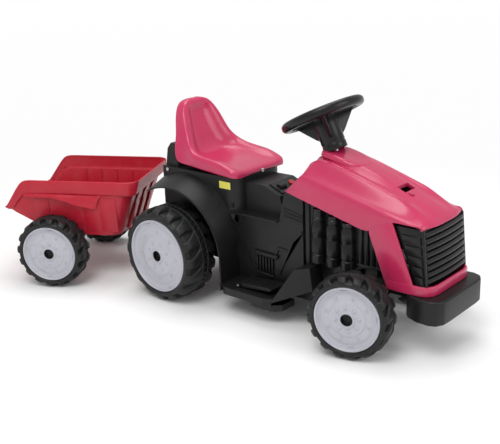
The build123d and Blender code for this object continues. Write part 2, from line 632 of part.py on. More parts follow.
def make_front_axle():
    x0, beam_x = KINGPIN_X - 10, KINGPIN_X + BEAM_AHEAD
    x1 = beam_x + BEAM_T
    z = FRONT_R
    beam = block(beam_x, x1, -88, 88, z - 12, z + 12)
    ear_y = KINGPIN_Y + 12
    web = block(x0, x1, -90, -80, z - 22, z + 22)
    ears = block(x0, x1, -ear_y, -82, z + 12.3, z + 22) + block(x0, x1, -ear_y, -82, z - 22, z - 12.3)
    beam += both(web + ears)
    head = block(beam_x, x1, -TRAY_FRONT_Y, TRAY_FRONT_Y, z + 11, TRAY_FRONT_Z - SEAT_GAP)
    beam += head
    for side in (-1, 1):
        beam -= upright(KINGPIN_X, side * KINGPIN_Y, z - 30, z + 30, KINGPIN_R + RUN)
    keep("front_axle_beam", beam)
    pin = upright(KINGPIN_X, -KINGPIN_Y, z - 25, z + 22 + SEAT_GAP, KINGPIN_R)
    pin += upright(KINGPIN_X, -KINGPIN_Y, z + 22 + SEAT_GAP, z + 25, KINGPIN_R + 3)
    keep("kingpins", both(pin))


def knuckle():
    """The right knuckle, straight ahead: its block on the kingpin, stub axle and arm."""
    z = FRONT_R
    inner_face = FRONT_TRACK_OUT - FRONT_W
    body = block(KINGPIN_X - 9, KINGPIN_X + 9, -KINGPIN_Y - 12, -KINGPIN_Y + 9, z - 12, z + 12)
    body += across(KINGPIN_X, z, -inner_face - 3.5, -KINGPIN_Y - 8, 9)
    body += across(KINGPIN_X, z, -FRONT_TRACK_OUT + HUB_WELL - 11, -KINGPIN_Y - 8, STUB_R)
    arm_x = KINGPIN_X - KNUCKLE_ARM
    body += block(arm_x - 7, KINGPIN_X - 4, -KINGPIN_Y - 6, -KINGPIN_Y + 6, z - 9, z - 1)
    body += upright(arm_x, -KINGPIN_Y, TIE_Z - 4, z - 8, PEG_R)
    body -= upright(KINGPIN_X, -KINGPIN_Y, z - 30, z + 30, KINGPIN_R + RUN)
    return body


def make_knuckles():
    right = knuckle()
    keep("knuckle_right", steered(right, -1))
    keep("knuckle_left", steered(left_of(right), 1))


def make_tie_rod():
    x = KINGPIN_X - KNUCKLE_ARM
    swing = KNUCKLE_ARM * (1 - cos(radians(STEER_LIMIT)))
    half = TIE_W / 2
    x_mid = x + swing / 2
    body = block(x_mid - half, x_mid + half, -KINGPIN_Y - 9, KINGPIN_Y + 9, TIE_Z, TIE_Z + TIE_T)
    peg_x = crank_peg_x()
    body += block(x_mid, peg_x + half + 3.5, -22, 22, TIE_Z, TIE_Z + TIE_T)
    play = PEG_R + ARM_PLAY
    for side in (-1, 1):
        y = side * KINGPIN_Y
        body -= block(x - play, x + swing + play, y - play, y + play, TIE_Z - 1, TIE_Z + TIE_T + 1)
    play = PEG_R + PEG_PLAY
    body -= block(peg_x - play - 1, peg_x + 3.5 + play, -play, play, TIE_Z - 1, TIE_Z + TIE_T + 1)
    shift = -KNUCKLE_ARM * sin(radians(STEER_AT_REST))
    keep("track_rod", Pos(0, shift, 0) * body)


def crank_peg_x():
    """Where the crank's peg stands, straight ahead, for its arm about the column."""
    mid = TIE_Z + TIE_T / 2
    return column_x(mid) - CRANK / cos(radians(COLUMN_TILT))


def make_steering_rod():
    foot = RING + COLUMN_DOWN * ((RING_Z - ROD_END_Z) / cos(radians(COLUMN_TILT)))
    start = RING + COLUMN_DOWN * 16
    body = rod(tuple(start), tuple(foot), ROD_R)
    peg_x = crank_peg_x()
    crank = block(peg_x - 7, foot.X + 4, -7, 7, ROD_END_Z - 8, ROD_END_Z)
    body += crank
    body += upright(peg_x, 0, TIE_Z - 4, ROD_END_Z - 7, PEG_R)
    keep("steering_rod", turned(body))


def spoke():
    """One spoke with the web that runs down to the neck, towards local +X."""
    arm = slab([(NECK_R - 2, -9), (RING_R - 4, -5), (RING_R - 2, 5), (NECK_R - 2, 1)], -12, 12)
    web = slab([(NECK_R - 2, -58), (RING_R - 10, -7), (RING_R - 12, 0), (NECK_R - 2, 0)], -3.5, 3.5)
    return arm + web


def make_steering_wheel():
    body = Torus(RING_R, RING_TUBE_R)
    tube = ring(NECK_R, NECK_R - THIN, -NECK_LEN, -4) + ring(NECK_R - 1, ROD_R + 0.2, -16, -6)
    tube += ring(ROD_R + 5, ROD_R + 0.2, -NECK_LEN + 6, -10)
    floor = ring(NECK_R - 1, ROD_R + 3, -NECK_LEN + 6, -NECK_LEN + 9)
    body += tube + floor
    for k in range(SPOKES):
        body += Rot(0, 0, k * 360 / SPOKES) * spoke()
    body -= Pos(0, 0, -60) * Cylinder(ROD_R + 0.2, 100)
    body -= ring(BUTTON_R + RUN + 0.3, 0.01, -5, 2)
    wheel_plane = Plane(origin=RING, x_dir=(cos(radians(COLUMN_TILT)), 0, sin(radians(COLUMN_TILT))),
                        z_dir=COLUMN_UP)
    place = wheel_plane * Rot(0, 0, SPOKE_FIRST_DEG)
    keep("steering_wheel", place * body)
    cap = ring(NECK_R - THIN - 0.3, BUTTON_R + RUN, -6 + SEAT_GAP, -2)
    keep("steering_cap", place * cap)
    button = Pos(0, 0, -0.5) * Cylinder(BUTTON_R, 7)
    keep("horn_button", place * button)


# ---------------------------------------------------------------- seat
def seat_outline(inset):
    w = SEAT_WALL * inset
    top = SEAT_TOP_BACK_X
    return [(SEAT_BACK_X + w, SEAT_REAR_Z - 10 * inset), (SEAT_BACK_X - 8 + w, 400),
            (top + w, SEAT_TOP_Z - 14), (top + 8, SEAT_TOP_Z - w), (top + 22, SEAT_TOP_Z - w),
            (top + 32, SEAT_TOP_Z - 16), (-6, 420), (14, 388), (44, 373 - w), (125, 364 - w),
            (166, 342 - w), (SEAT_FRONT_X - w, 336 - w), (SEAT_FRONT_X - w, SEAT_FRONT_Z - 10 * inset)]


def seat_front_view(inset):
    """Everything inside the seat's outline from the front, which narrows upwards to an arch."""
    half = SEAT_Y - inset
    top = SEAT_TOP_Z - inset
    side = [(half, 300), (half, 374), (half - 17, 404), (half - 31, 450), (half - 42, top - 24),
            (half - 59, top - 7), (max(half - 82, 4), top)]
    outline = [(y, z) for y, z in side] + [(-y, z) for y, z in reversed(side)]
    sheet = make_face(Plane.YZ * Polyline(*outline, close=True))
    return Pos(-150, 0, 0) * extrude(sheet, amount=400)


def make_seat():
    """A bucket seat: a skirted pan and a raised back, with the sitter's hollow cut in."""
    shape = slab(seat_outline(0), -SEAT_Y, SEAT_Y)
    corners = [e for e in shape.edges().filter_by(GeomType.LINE)
               if e.center().X > SEAT_FRONT_X - 1 and abs(e.center().Y) > SEAT_Y - 1]
    shape = fillet(corners, 34) & seat_front_view(0)
    hollow = slab([(SEAT_TOP_BACK_X + 14, SEAT_TOP_Z + 5), (-12, 400), (2, 368), (20, SEAT_PAN_Z),
                   (110, SEAT_PAN_Z), (160, 344), (176, 400), (120, 520)],
                  -SEAT_Y + SEAT_RIM, SEAT_Y - SEAT_RIM)
    shape -= hollow & seat_front_view(SEAT_RIM)
    under = slab([(SEAT_BACK_X + SEAT_WALL, 300), (SEAT_BACK_X + SEAT_WALL, SEAT_PAN_Z - 5),
                  (140, SEAT_PAN_Z - 5), (162, 337), (SEAT_FRONT_X - SEAT_WALL, 334.5),
                  (SEAT_FRONT_X - SEAT_WALL, 300)], -SEAT_Y + SEAT_WALL, SEAT_Y - SEAT_WALL)
    shape -= under
    rest_z = PEDESTAL_TOP_Z + SEAT_GAP
    legs = both(block(-20, 150, -56, -52, rest_z, SEAT_PAN_Z - 4))
    shape += legs
    catch_r = 3.0
    shape -= rod((SEAT_FRONT_X + 2, 0, 331), (SEAT_FRONT_X - 20, 0, 331), catch_r + RUN)
    keep("seat", shape)
    catch = rod((SEAT_FRONT_X + 3, 0, 331), (SEAT_FRONT_X + SEAT_GAP, 0, 331), 5)
    catch += rod((SEAT_FRONT_X + 1, 0, 331), (SEAT_FRONT_X - SEAT_WALL - 2, 0, 331), catch_r)
    catch -= block(SEAT_FRONT_X + 2, SEAT_FRONT_X + 5, -5, 5, 330.2, 331.8)
    keep("seat_catch", catch)


# ---------------------------------------------------------------- drive and electrics
def make_drive():
    end = TRACK_OUT - HUB_WELL + 11
    keep("rear_axle", across(0, REAR_R, -end, end, AXLE_R))
    inner_y = PEDESTAL_Y - WALL - SEAT_GAP
    case = block(-34, 62, inner_y - 46, inner_y, BODY_LOW_Z - 8, BODY_LOW_Z + 62)
    case = fillet(case.edges().filter_by(Axis.Y), 10)
    case -= block(-30, 58, inner_y - 42, inner_y - 4, BODY_LOW_Z - 4, BODY_LOW_Z + 58)
    case -= across(0, REAR_R, inner_y - 60, inner_y + 2, AXLE_R + RUN)
    case -= across(0, REAR_R, inner_y - 5, inner_y + 2, 24)
    keep("gearbox", case)
    gear = across(0, REAR_R, inner_y - 30, inner_y - 12, 19.5) + across(0, REAR_R, inner_y - 13,
                                                                     TRACK_OUT - REAR_W + 3, 19)
    for k in range(6):
        tooth = block(-3, 3, TRACK_OUT - REAR_W - 14, TRACK_OUT - REAR_W + 3, 17, 23)
        gear += Pos(0, 0, REAR_R) * Rot(0, 60 * k, 0) * tooth
    gear -= across(0, REAR_R, 0, 200, AXLE_R + RUN)
    keep("drive_gear", gear)
    motor = across(34, BODY_LOW_Z + 28, inner_y - 46 - SEAT_GAP - 56, inner_y - 46 - SEAT_GAP, 18)
    motor += across(34, BODY_LOW_Z + 28, inner_y - 46 - 66, inner_y - 46 - 50, 6)
    keep("motor", motor)
    strut_y = inner_y - 46
    sleeve = across(0, REAR_R, -inner_y, strut_y - SEAT_GAP, 10)
    sleeve -= across(0, REAR_R, -inner_y - 1, strut_y + 1, AXLE_R + RUN)
    keep("axle_spacer", sleeve)


def make_electrics():
    shelf_z = 196.0
    shelf = block(BODY_BACK_X + WALL + SEAT_GAP, 100, -PEDESTAL_Y + WALL + SEAT_GAP,
                  PEDESTAL_Y - WALL - SEAT_GAP, shelf_z, shelf_z + 4)
    x0 = -28.0
    lip = block(x0 - 5, x0 - 1, -40, 40, shelf_z, shelf_z + 14)
    lip += block(x0 + BATTERY_L + 1, x0 + BATTERY_L + 5, -40, 40, shelf_z, shelf_z + 14)
    keep("battery_tray", shelf + lip)
    case = block(x0, x0 + BATTERY_L, -BATTERY_W / 2, BATTERY_W / 2, shelf_z + 4 + SEAT_GAP,
                 shelf_z + 4 + BATTERY_H)
    for y in (-14, 14):
        case += block(x0 + 8, x0 + 14, y - 3, y + 3, shelf_z + 3 + BATTERY_H, shelf_z + 10 + BATTERY_H)
    keep("battery", case)
    top = shelf_z + 4 + BATTERY_H + SEAT_GAP
    half = BATTERY_W / 2 + SEAT_GAP
    strap = block(14, 34, -half - 3, half + 3, shelf_z + 4 + SEAT_GAP, top + 3)
    strap -= block(10, 40, -half, half, shelf_z, top)
    strap += block(14, 34, half, half + 14, shelf_z + 4 + SEAT_GAP, shelf_z + 7)
    strap += block(14, 34, -half - 14, -half, shelf_z + 4 + SEAT_GAP, shelf_z + 7)
    keep("battery_strap", strap)
    x, z, r = SOCKET_X, SOCKET_Z, SOCKET_R
    socket = across(x, z, PEDESTAL_Y + SEAT_GAP, PEDESTAL_Y + 3, r + 3.2)
    socket += across(x, z, PEDESTAL_Y - 14, PEDESTAL_Y + 1, r)
    socket -= across(x, z, PEDESTAL_Y - 10, PEDESTAL_Y + 4, SOCKET_BORE_R)
    keep("charging_socket", socket)
    nodes["main_body"] -= across(x, z, PEDESTAL_Y - WALL - 1, PEDESTAL_Y + 1, r + SEAT_GAP)


def make_switches():
    """The rocker that picks forwards or backwards, and the power button, on the console."""
    slope = atan2(312 - 292, 284 - 236)
    mid = Vector(260, 0, 302)
    face = Plane(origin=mid, x_dir=(cos(slope), 0, -sin(slope)), z_dir=(sin(slope), 0, cos(slope)))
    frame = face * (block(-22, 22, -42, 42, SEAT_GAP, 3) - block(-11, 11, -31, -9, -1, 4)
                    - Pos(0, 20, 0) * Cylinder(BUTTON_R + 0.4, 12))
    keep("switch_plate", frame)
    rocker = face * (Pos(0, -20, 1) * Rot(90, 0, 0) * Cylinder(9, 22 - 2 * SEAT_GAP))
    rocker = rocker & (face * block(-9.5, 9.5, -31, -9, -3.5, 12))
    keep("direction_rocker", rocker)
    button = face * (Pos(0, 20, 1.5) * Cylinder(BUTTON_R, 11))
    keep("power_button", button)
    holes = face * (block(-10.5, 10.5, -31, -9, -8, 1) + Pos(0, 20, 0) * Cylinder(BUTTON_R + 0.4, 18))
    nodes["main_body"] -= holes
    cradle = face * (block(-14, 14, -34, 34, -WALL - 16, -WALL - 12)
                     + block(-14, 14, -34, -31.5, -WALL - 13, -WALL - SEAT_GAP)
                     + block(-14, 14, 31.5, 34, -WALL - 13, -WALL - SEAT_GAP))
    keep("switch_cradle", cradle)
    return face


def make_pedal():
    """The accelerator pedal, hinged at its rear edge over the right footwell floor."""
    x0 = 222.0
    y0, y1 = -BODY_Y - 12 - PEDAL_W, -BODY_Y - 12
    z = FLOOR_Z + 6
    shape = slab([(x0 - 5, z - 5), (x0 + PEDAL_L, z + 5), (x0 + PEDAL_L + 6, z + 9),
                  (x0 + PEDAL_L - 2, z + 13), (x0 - 5, z + 5)], y0, y1)
    ribs = 6
    for k in range(ribs):
        x = x0 + 12 + k * 14
        up = 5 + 8 * (x - x0 + 5) / (PEDAL_L + 3)
        shape += block(x, x + 4, y0 + 5, y1 - 5, z + up - 3, z + up + 1.2)
    shape -= across(x0, z, y0 - 1, y1 + 1, 2.5 + RUN)
    keep("foot_pedal", shape)
    lugs = block(x0 - 5, x0 + 5, y0 - 5, y0 - SEAT_GAP, FLOOR_Z + SEAT_GAP, z + 5)
    lugs += block(x0 - 5, x0 + 5, y1 + SEAT_GAP, y1 + 5, FLOOR_Z + SEAT_GAP, z + 5)
    lugs -= across(x0, z, y0 - 9, y1 + 9, 2.5 + RUN)
    keep("pedal_brackets", lugs)
    keep("pedal_pin", across(x0, z, y0 - 6, y1 + 6, 2.5))
    keep("pedal_switch", block(x0 + 14, x0 + 36, (y0 + y1) / 2 - 6, (y0 + y1) / 2 + 6,
                               FLOOR_Z - 13, FLOOR_Z - WALL - SEAT_GAP))
    return Vector(x0, (y0 + y1) / 2, z)


def make_trim():
    """Blank side labels and the screws that hold the body's halves."""
    label = block(118, 155, -PEDESTAL_Y - 0.8, -PEDESTAL_Y - 0.1, 296, 314)
    keep("side_labels", both(label))
    screws = None
    for x, z in ((40, 302), (-66, 318)):
        screw = across(x, z, -PEDESTAL_Y - 2.4, -PEDESTAL_Y - 0.1, 4.5)
        screws = screw if screws is None else screws + screw
    keep("body_screws", both(screws))


# ---------------------------------------------------------------- trailer
def tub_outline(inset, over):
    """Side view of the tub, x behind the towing pin as negative numbers from it."""
    w = inset
    return [(HITCH_X - TUB_FRONT - w, TUB_TOP_Z + over),
            (HITCH_X - TUB_FOOT_FRONT - w * 0.9, TUB_FLOOR_Z + w),
            (HITCH_X - TUB_FOOT_BACK + w * 0.3, TUB_FLOOR_Z + w),
            (HITCH_X - TUB_TAIL - over, TUB_TAIL_Z + w + over * 0.53)]


def tub_sides(half_top, half_foot, inset, over):
    """The tub as a lofted block, wider at the rim than at its floor."""
    outline = tub_outline(inset, over)
    back_top = [(HITCH_X - TUB_RIM_BACK - over * 3, TUB_TOP_Z + over)]
    spread = (half_top - half_foot) / (TUB_TOP_Z - TUB_FLOOR_Z)
    solid = slab(outline + back_top, -half_top - over, half_top + over)
    low, high = TUB_FLOOR_Z - 5, TUB_TOP_Z + 10
    def half_at(z):
        return half_foot + spread * (z - TUB_FLOOR_Z)
    gate = loft([
        Pos(HITCH_X - 250, 0, low) * Rectangle(700, 2 * half_at(low)),
        Pos(HITCH_X - 250, 0, high) * Rectangle(700, 2 * half_at(high))], ruled=True)
    return solid & gate


def make_tub():
    shell = tub_sides(TUB_HALF_W, TUB_FOOT_HALF_W, 0, 0)
    shell -= tub_sides(TUB_HALF_W - TUB_WALL, TUB_FOOT_HALF_W - TUB_WALL, TUB_WALL, 8)
    low = TUB_TOP_Z - RIM_BAND
    front = HITCH_X - TUB_FRONT
    back = HITCH_X - TUB_RIM_BACK
    out_y = -TUB_HALF_W - RIM_OUT
    tail = HITCH_X - TUB_TAIL
    flare_back, flare_front = HITCH_X - FLARE_BACK, HITCH_X - FLARE_FRONT
    band = slab([(front, TUB_TOP_Z), (front - 10, low), (flare_back + 14, low - 5),
                 (flare_back, TUB_TAIL_Z), (tail, TUB_TAIL_Z), (back, TUB_TOP_Z)],
                out_y, -TUB_HALF_W + 3)
    foot = band & slab([(flare_back + 1, 0), (flare_back + 1, 400), (tail - 1, 400), (tail - 1, 0)],
                       out_y, 0)
    band = band + Pos(0, 12, 0) * foot
    flare_slope = 2.0

    def flare_section(x, reach, z):
        """A right triangle under the band that stands out by reach at its foot."""
        return Face(Wire.make_polygon([
            (x, out_y + 2, z), (x, out_y - reach, z),
            (x, out_y + 2, z + flare_slope * (reach + 2))], close=True))
    start = flare_section(flare_back, 2, low - 3)
    end = flare_section(flare_front, FLARE_OUT, FLARE_Z)
    flare = loft([start, end], ruled=True)
    shell += both(band + flare)
    top = TUB_TOP_Z - 1
    front_band = slab([(front - 9, top), (front + 5, top), (front - 6, low), (front - 17, low)],
                      out_y + 1, -out_y - 1)
    keep("trailer_tub", swung(shell + front_band))


def make_trailer_frame():
    z1 = TUB_FLOOR_Z - SEAT_GAP
    z0 = z1 - DRAWBAR_T
    end = TRAILER_AXLE.X - 22
    bar = block(end, HITCH_X, -16, 16, z0, z1) + upright(HITCH_X, 0, z0, z1, 16)
    cross = block(TRAILER_AXLE.X - 20, TRAILER_AXLE.X + 20, -126, 126, z1 - 6, z1)
    hanger = block(TRAILER_AXLE.X - 16, TRAILER_AXLE.X + 16, -126, -118, FRONT_R - 14, z1)
    body = bar + cross + both(hanger)
    body -= upright(HITCH_X, 0, z0 - 1, z1 + 1, HITCH_PIN_R + RUN)
    body -= across(TRAILER_AXLE.X, FRONT_R, -140, 140, AXLE_R + RUN)
    keep("drawbar", swung(body))
    end_y = TRACK_OUT - HUB_WELL + 11
    keep("trailer_axle", swung(across(TRAILER_AXLE.X, FRONT_R, -end_y, end_y, AXLE_R)))
    gap = TRACK_OUT - FRONT_W
    sleeve = across(TRAILER_AXLE.X, FRONT_R, -gap + SEAT_GAP - 3.5, -126 - SEAT_GAP, 9)
    sleeve -= across(TRAILER_AXLE.X, FRONT_R, -200, -100, AXLE_R + RUN)
    keep("trailer_spacers", swung(both(sleeve)))


def make_hitch():
    z1 = TUB_FLOOR_Z - SEAT_GAP - DRAWBAR_T - SEAT_GAP
    z0 = z1 - TONGUE_T
    back = BODY_BACK_X - SEAT_GAP
    plate_part = block(HITCH_X, back, -20, 20, z0, z1) + upright(HITCH_X, 0, z0, z1, 20)
    flange = block(back - 5, back, -45, 45, z0, z0 + 46)
    body = plate_part + flange
    body -= upright(HITCH_X, 0, z0 - 1, z1 + 1, HITCH_PIN_R + RUN)
    keep("hitch_plate", body)
    top = TUB_FLOOR_Z
    pin = upright(HITCH_X, 0, z0 - 12, top + 2, HITCH_PIN_R)
    pin += upright(HITCH_X, 0, top, top + 6, 14)
    pin += Pos(HITCH_X, 0, top + 18) * Rot(90, 0, 0) * Torus(13, 3)
    keep("hitch_pin", pin)


# ---------------------------------------------------------------- the whole toy
def build():
    make_wheels()
    make_body()
    make_hood()
    make_grille()
    make_bumper()
    make_engine_sides()
    make_chassis()
    make_steering_bracket()
    make_front_axle()
    make_knuckles()
    make_tie_rod()
    make_steering_rod()
    make_steering_wheel()
    make_seat()
    make_drive()
    make_electrics()
    make_switches()
    make_pedal()
    make_trim()
    make_tub()
    make_trailer_frame()
    make_hitch()


def shift_to_origin():
    """The middle of the model's box on the ground."""
    boxes = [shape.bounding_box() for shape in nodes.values()]
    x = (min(b.min.X for b in boxes) + max(b.max.X for b in boxes)) / 2
    y = (min(b.min.Y for b in boxes) + max(b.max.Y for b in boxes)) / 2
    z = min(b.min.Z for b in boxes)
    return Vector(-x, -y, -z)


def main():
    build()
    shift = shift_to_origin()
    for name, shape in nodes.items():
        export_step(Pos(*shift) * shape, f"parts/{name}.step")
    return shift


SHIFT = main()
print("shift", SHIFT, "nodes", len(nodes))
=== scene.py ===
"""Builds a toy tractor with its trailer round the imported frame: sidebar add-on layout, run as a script."""
import json
import math

import bmesh
import bpy
from mathutils import Matrix, Vector


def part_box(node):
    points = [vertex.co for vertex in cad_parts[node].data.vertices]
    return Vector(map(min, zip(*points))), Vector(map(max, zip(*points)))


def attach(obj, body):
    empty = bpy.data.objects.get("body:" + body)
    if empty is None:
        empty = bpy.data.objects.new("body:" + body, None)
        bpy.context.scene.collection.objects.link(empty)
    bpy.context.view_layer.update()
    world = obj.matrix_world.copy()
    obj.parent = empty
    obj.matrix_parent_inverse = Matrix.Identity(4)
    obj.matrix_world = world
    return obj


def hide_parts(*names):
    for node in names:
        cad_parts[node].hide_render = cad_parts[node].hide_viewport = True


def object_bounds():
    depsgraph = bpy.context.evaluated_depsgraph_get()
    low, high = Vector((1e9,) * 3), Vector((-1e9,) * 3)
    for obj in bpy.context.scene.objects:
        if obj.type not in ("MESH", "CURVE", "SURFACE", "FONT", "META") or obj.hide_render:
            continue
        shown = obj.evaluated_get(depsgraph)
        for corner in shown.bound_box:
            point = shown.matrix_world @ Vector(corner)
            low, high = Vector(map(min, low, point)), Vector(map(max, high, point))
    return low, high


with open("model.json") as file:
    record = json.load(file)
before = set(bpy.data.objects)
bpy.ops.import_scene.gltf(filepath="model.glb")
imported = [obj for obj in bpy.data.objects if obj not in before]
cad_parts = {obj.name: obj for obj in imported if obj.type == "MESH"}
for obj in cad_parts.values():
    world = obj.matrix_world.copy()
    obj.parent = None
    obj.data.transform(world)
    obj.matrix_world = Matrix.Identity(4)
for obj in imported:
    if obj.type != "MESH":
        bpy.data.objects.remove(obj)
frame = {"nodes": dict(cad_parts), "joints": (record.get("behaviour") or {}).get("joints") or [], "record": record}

bl_info = {
    "name": "Toy tractor and trailer",
    "version": (1, 0, 0),
    "blender": (4, 5, 0),
    "location": "3D View > Sidebar > Tractor",
    "description": "Models a ride-on toy tractor and its tipping trailer piece by piece",
    "category": "Add Mesh",
}

# ---------------------------------------------------------------- places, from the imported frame
MM = 0.001
CAD_BOX = [list(corner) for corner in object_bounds()]
JOINTS = {joint["name"]: joint for joint in frame["joints"]}


def joint_place(name):
    return Vector(JOINTS[name]["pos_m"])


def joint_axis(name):
    return Vector(JOINTS[name]["axis"]).normalized()


MIDDLE = Vector((joint_place("rear_wheel_right_spin").x,
                 (joint_place("rear_wheel_right_spin").y + joint_place("rear_wheel_left_spin").y) / 2, 0))
TRACTOR = Matrix.Translation(MIDDLE) @ Matrix.Scale(MM, 4)     # millimetres, from below the rear axle


def trailer_place():
    """Millimetres in the trailer's own frame, from the floor below the towing pin."""
    pin = joint_place("trailer_swing")
    axle = joint_axis("trailer_wheel_right_spin")
    turn = Matrix.Rotation(math.atan2(-axle.x, axle.y), 4, "Z")
    return Matrix.Translation((pin.x, pin.y, 0)) @ turn @ Matrix.Scale(MM, 4)


def wheel_place(name):
    """Millimetres in a wheel's own frame, its outer face towards +Z."""
    centre, axle = joint_place(f"{name}_spin"), joint_axis(f"{name}_spin")
    outward = axle if name.endswith("left") else -axle
    turn = Vector((0, 0, 1)).rotation_difference(outward).to_matrix().to_4x4()
    return Matrix.Translation(centre) @ turn @ Matrix.Scale(MM, 4)


def steering_place():
    """Millimetres in the steering wheel's own frame, its ring in the XY plane, +X ahead."""
    up = joint_axis("steering_turn")
    across = Vector((0, 1, 0))
    ahead = across.cross(up)
    turn = Matrix((ahead, across, up)).transposed().to_4x4()
    return Matrix.Translation(joint_place("steering_turn")) @ turn @ Matrix.Scale(MM, 4)


# ---------------------------------------------------------------- modelling steps
def let_go():
    """Leaves edit mode and lets go of everything that is picked."""
    if bpy.context.mode != "OBJECT":
        bpy.ops.object.mode_set(mode="OBJECT")
    bpy.ops.object.select_all(action="DESELECT")


def hold(*pieces):
    """Picks these pieces, the last one active."""
    let_go()
    for piece in pieces:
        piece.select_set(True)
        bpy.context.view_layer.objects.active = piece
    return pieces[-1]


def edit(piece, kind="VERT"):
    """Goes into edit mode on a piece with nothing picked."""
    hold(piece)
    bpy.ops.object.mode_set(mode="EDIT")
    bpy.ops.mesh.select_mode(type=kind)
    bpy.ops.mesh.select_all(action="DESELECT")


def pick(test, kind="FACE"):
    """In edit mode, picks the faces, edges or corners that pass the test."""
    bpy.ops.mesh.select_mode(type=kind)
    bpy.ops.mesh.select_all(action="DESELECT")
    mesh = bmesh.from_edit_mesh(bpy.context.object.data)
    parts = {"FACE": mesh.faces, "EDGE": mesh.edges, "VERT": mesh.verts}[kind]
    chosen = [part for part in parts if test(part)]
    for part in chosen:
        part.select_set(True)
    bmesh.update_edit_mesh(bpy.context.object.data)
    return len(chosen)


def line_loop(points):
    """A closed line of corners, drawn from a circle."""
    let_go()
    bpy.ops.mesh.primitive_circle_add(vertices=len(points), radius=1)
    piece = bpy.context.object
    for corner, point in zip(piece.data.vertices, points):
        corner.co = point
    return piece


def plank(points, start, end, axis="Y"):
    """A flat outline pulled through a thickness along an axis; its points leave that axis out."""
    def corner(point, depth):
        a, b = point
        return {"X": (depth, a, b), "Y": (a, depth, b), "Z": (a, b, depth)}[axis]
    piece = line_loop([corner(point, start) for point in points])
    edit(piece)
    bpy.ops.mesh.select_all(action="SELECT")
    bpy.ops.mesh.edge_face_add()
    bpy.ops.mesh.extrude_region_move(
        TRANSFORM_OT_translate={"value": Vector(corner((0, 0), end - start))})
    outward()
    return piece


def box(low, high):
    """A block between two corners."""
    let_go()
    low, high = Vector(low), Vector(high)
    bpy.ops.mesh.primitive_cube_add(size=1, location=(low + high) / 2, scale=high - low)
    bpy.ops.object.transform_apply(location=True, rotation=True, scale=True)
    return bpy.context.object


def outward():
    """In edit mode, merges doubles and turns every face outwards, then leaves edit mode."""
    bpy.ops.mesh.select_all(action="SELECT")
    bpy.ops.mesh.remove_doubles(threshold=0.01)
    bpy.ops.mesh.normals_make_consistent(inside=False)
    bpy.ops.object.mode_set(mode="OBJECT")


def spun(profile, steps, closed=True):
    """A round piece: a line through (radius, height) points, spun about Z."""
    piece = line_loop([(radius, 0, height) for radius, height in profile])
    edit(piece)
    if not closed:
        ends = {0, len(profile) - 1}
        pick(lambda e: {v.index for v in e.verts} == ends, "EDGE")
        bpy.ops.mesh.delete(type="EDGE")
    bpy.ops.mesh.select_mode(type="VERT")
    bpy.ops.mesh.select_all(action="SELECT")
    bpy.ops.mesh.spin(steps=steps, angle=math.tau, center=(0, 0, 0), axis=(0, 0, 1))
    outward()
    return piece


def skin(rows):
    """A skin over rows of corners, made from a grid with as many rows and columns."""
    let_go()
    across, along = len(rows[0]), len(rows)
    bpy.ops.mesh.primitive_grid_add(x_subdivisions=across - 1, y_subdivisions=along - 1, size=1)
    piece = bpy.context.object
    points = [point for row in rows for point in row]
    for corner, point in zip(piece.data.vertices, points, strict=True):
        corner.co = point
    edit(piece)
    outward()
    return piece


def close_ends(piece):
    """Fills the two open ends of a skin that closes on itself."""
    edit(piece)
    bpy.ops.mesh.select_non_manifold()
    bpy.ops.mesh.fill_holes(sides=0)
    outward()


def finish_with(piece, kind, **settings):
    """Adds a modifier with these settings and applies it."""
    hold(piece)
    modifier = piece.modifiers.new(kind.title(), kind)
    for name, value in settings.items():
        setattr(modifier, name, value)
    bpy.ops.object.modifier_apply(modifier=modifier.name)
    return piece


def soften(piece, width, segments=2, angle=35):
    """Rounds the sharp edges."""
    return finish_with(piece, "BEVEL", width=width, segments=segments, limit_method="ANGLE",
                       angle_limit=math.radians(angle), miter_outer="MITER_ARC")


def smooth_out(piece, levels=2):
    return finish_with(piece, "SUBSURF", levels=levels, render_levels=levels)


def thicken(piece, thickness, offset=-1):
    return finish_with(piece, "SOLIDIFY", thickness=thickness, offset=offset, use_even_offset=True)


def shade(piece, angle=35):
    hold(piece)
    bpy.ops.object.shade_smooth_by_angle(angle=math.radians(angle))
    return piece


def joined(*pieces):
    """Makes one piece of several."""
    let_go()
    for piece in pieces:
        piece.select_set(True)
    bpy.context.view_layer.objects.active = pieces[0]
    bpy.ops.object.join()
    return bpy.context.object


def twin(piece, matrix):
    """A copy with its own mesh, moved by a matrix."""
    copy = piece.copy()
    copy.data = piece.data.copy()
    bpy.context.collection.objects.link(copy)
    copy.data.transform(matrix)
    if matrix.determinant() < 0:
        edit(copy)
        bpy.ops.mesh.select_all(action="SELECT")
        bpy.ops.mesh.flip_normals()
        bpy.ops.object.mode_set(mode="OBJECT")
    return copy


def round_copies(piece, count, first=0.0):
    """Copies a piece round Z and joins the ring."""
    ring = [twin(piece, Matrix.Rotation(math.radians(first) + k * math.tau / count, 4, "Z"))
            for k in range(count)]
    bpy.data.objects.remove(piece)
    return joined(*ring)


def both_sides(piece):
    """Adds the mirrored copy across the middle plane."""
    return joined(piece, twin(piece, Matrix.Scale(-1, 4, Vector((0, 1, 0)))))


def settle(piece, name, place, body, finish, stands_for=(), angle=35):
    """Puts a finished piece in its place, gives it its name and finish, and rides it on its body."""
    hold(piece)
    piece.matrix_world = place
    bpy.ops.object.transform_apply(location=True, rotation=True, scale=True)
    piece.name = piece.data.name = name
    shade(piece, angle)
    piece.data.materials.clear()
    piece.data.materials.append(FINISHES[finish])
    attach(piece, body)
    if stands_for:
        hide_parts(*stands_for)
    return piece


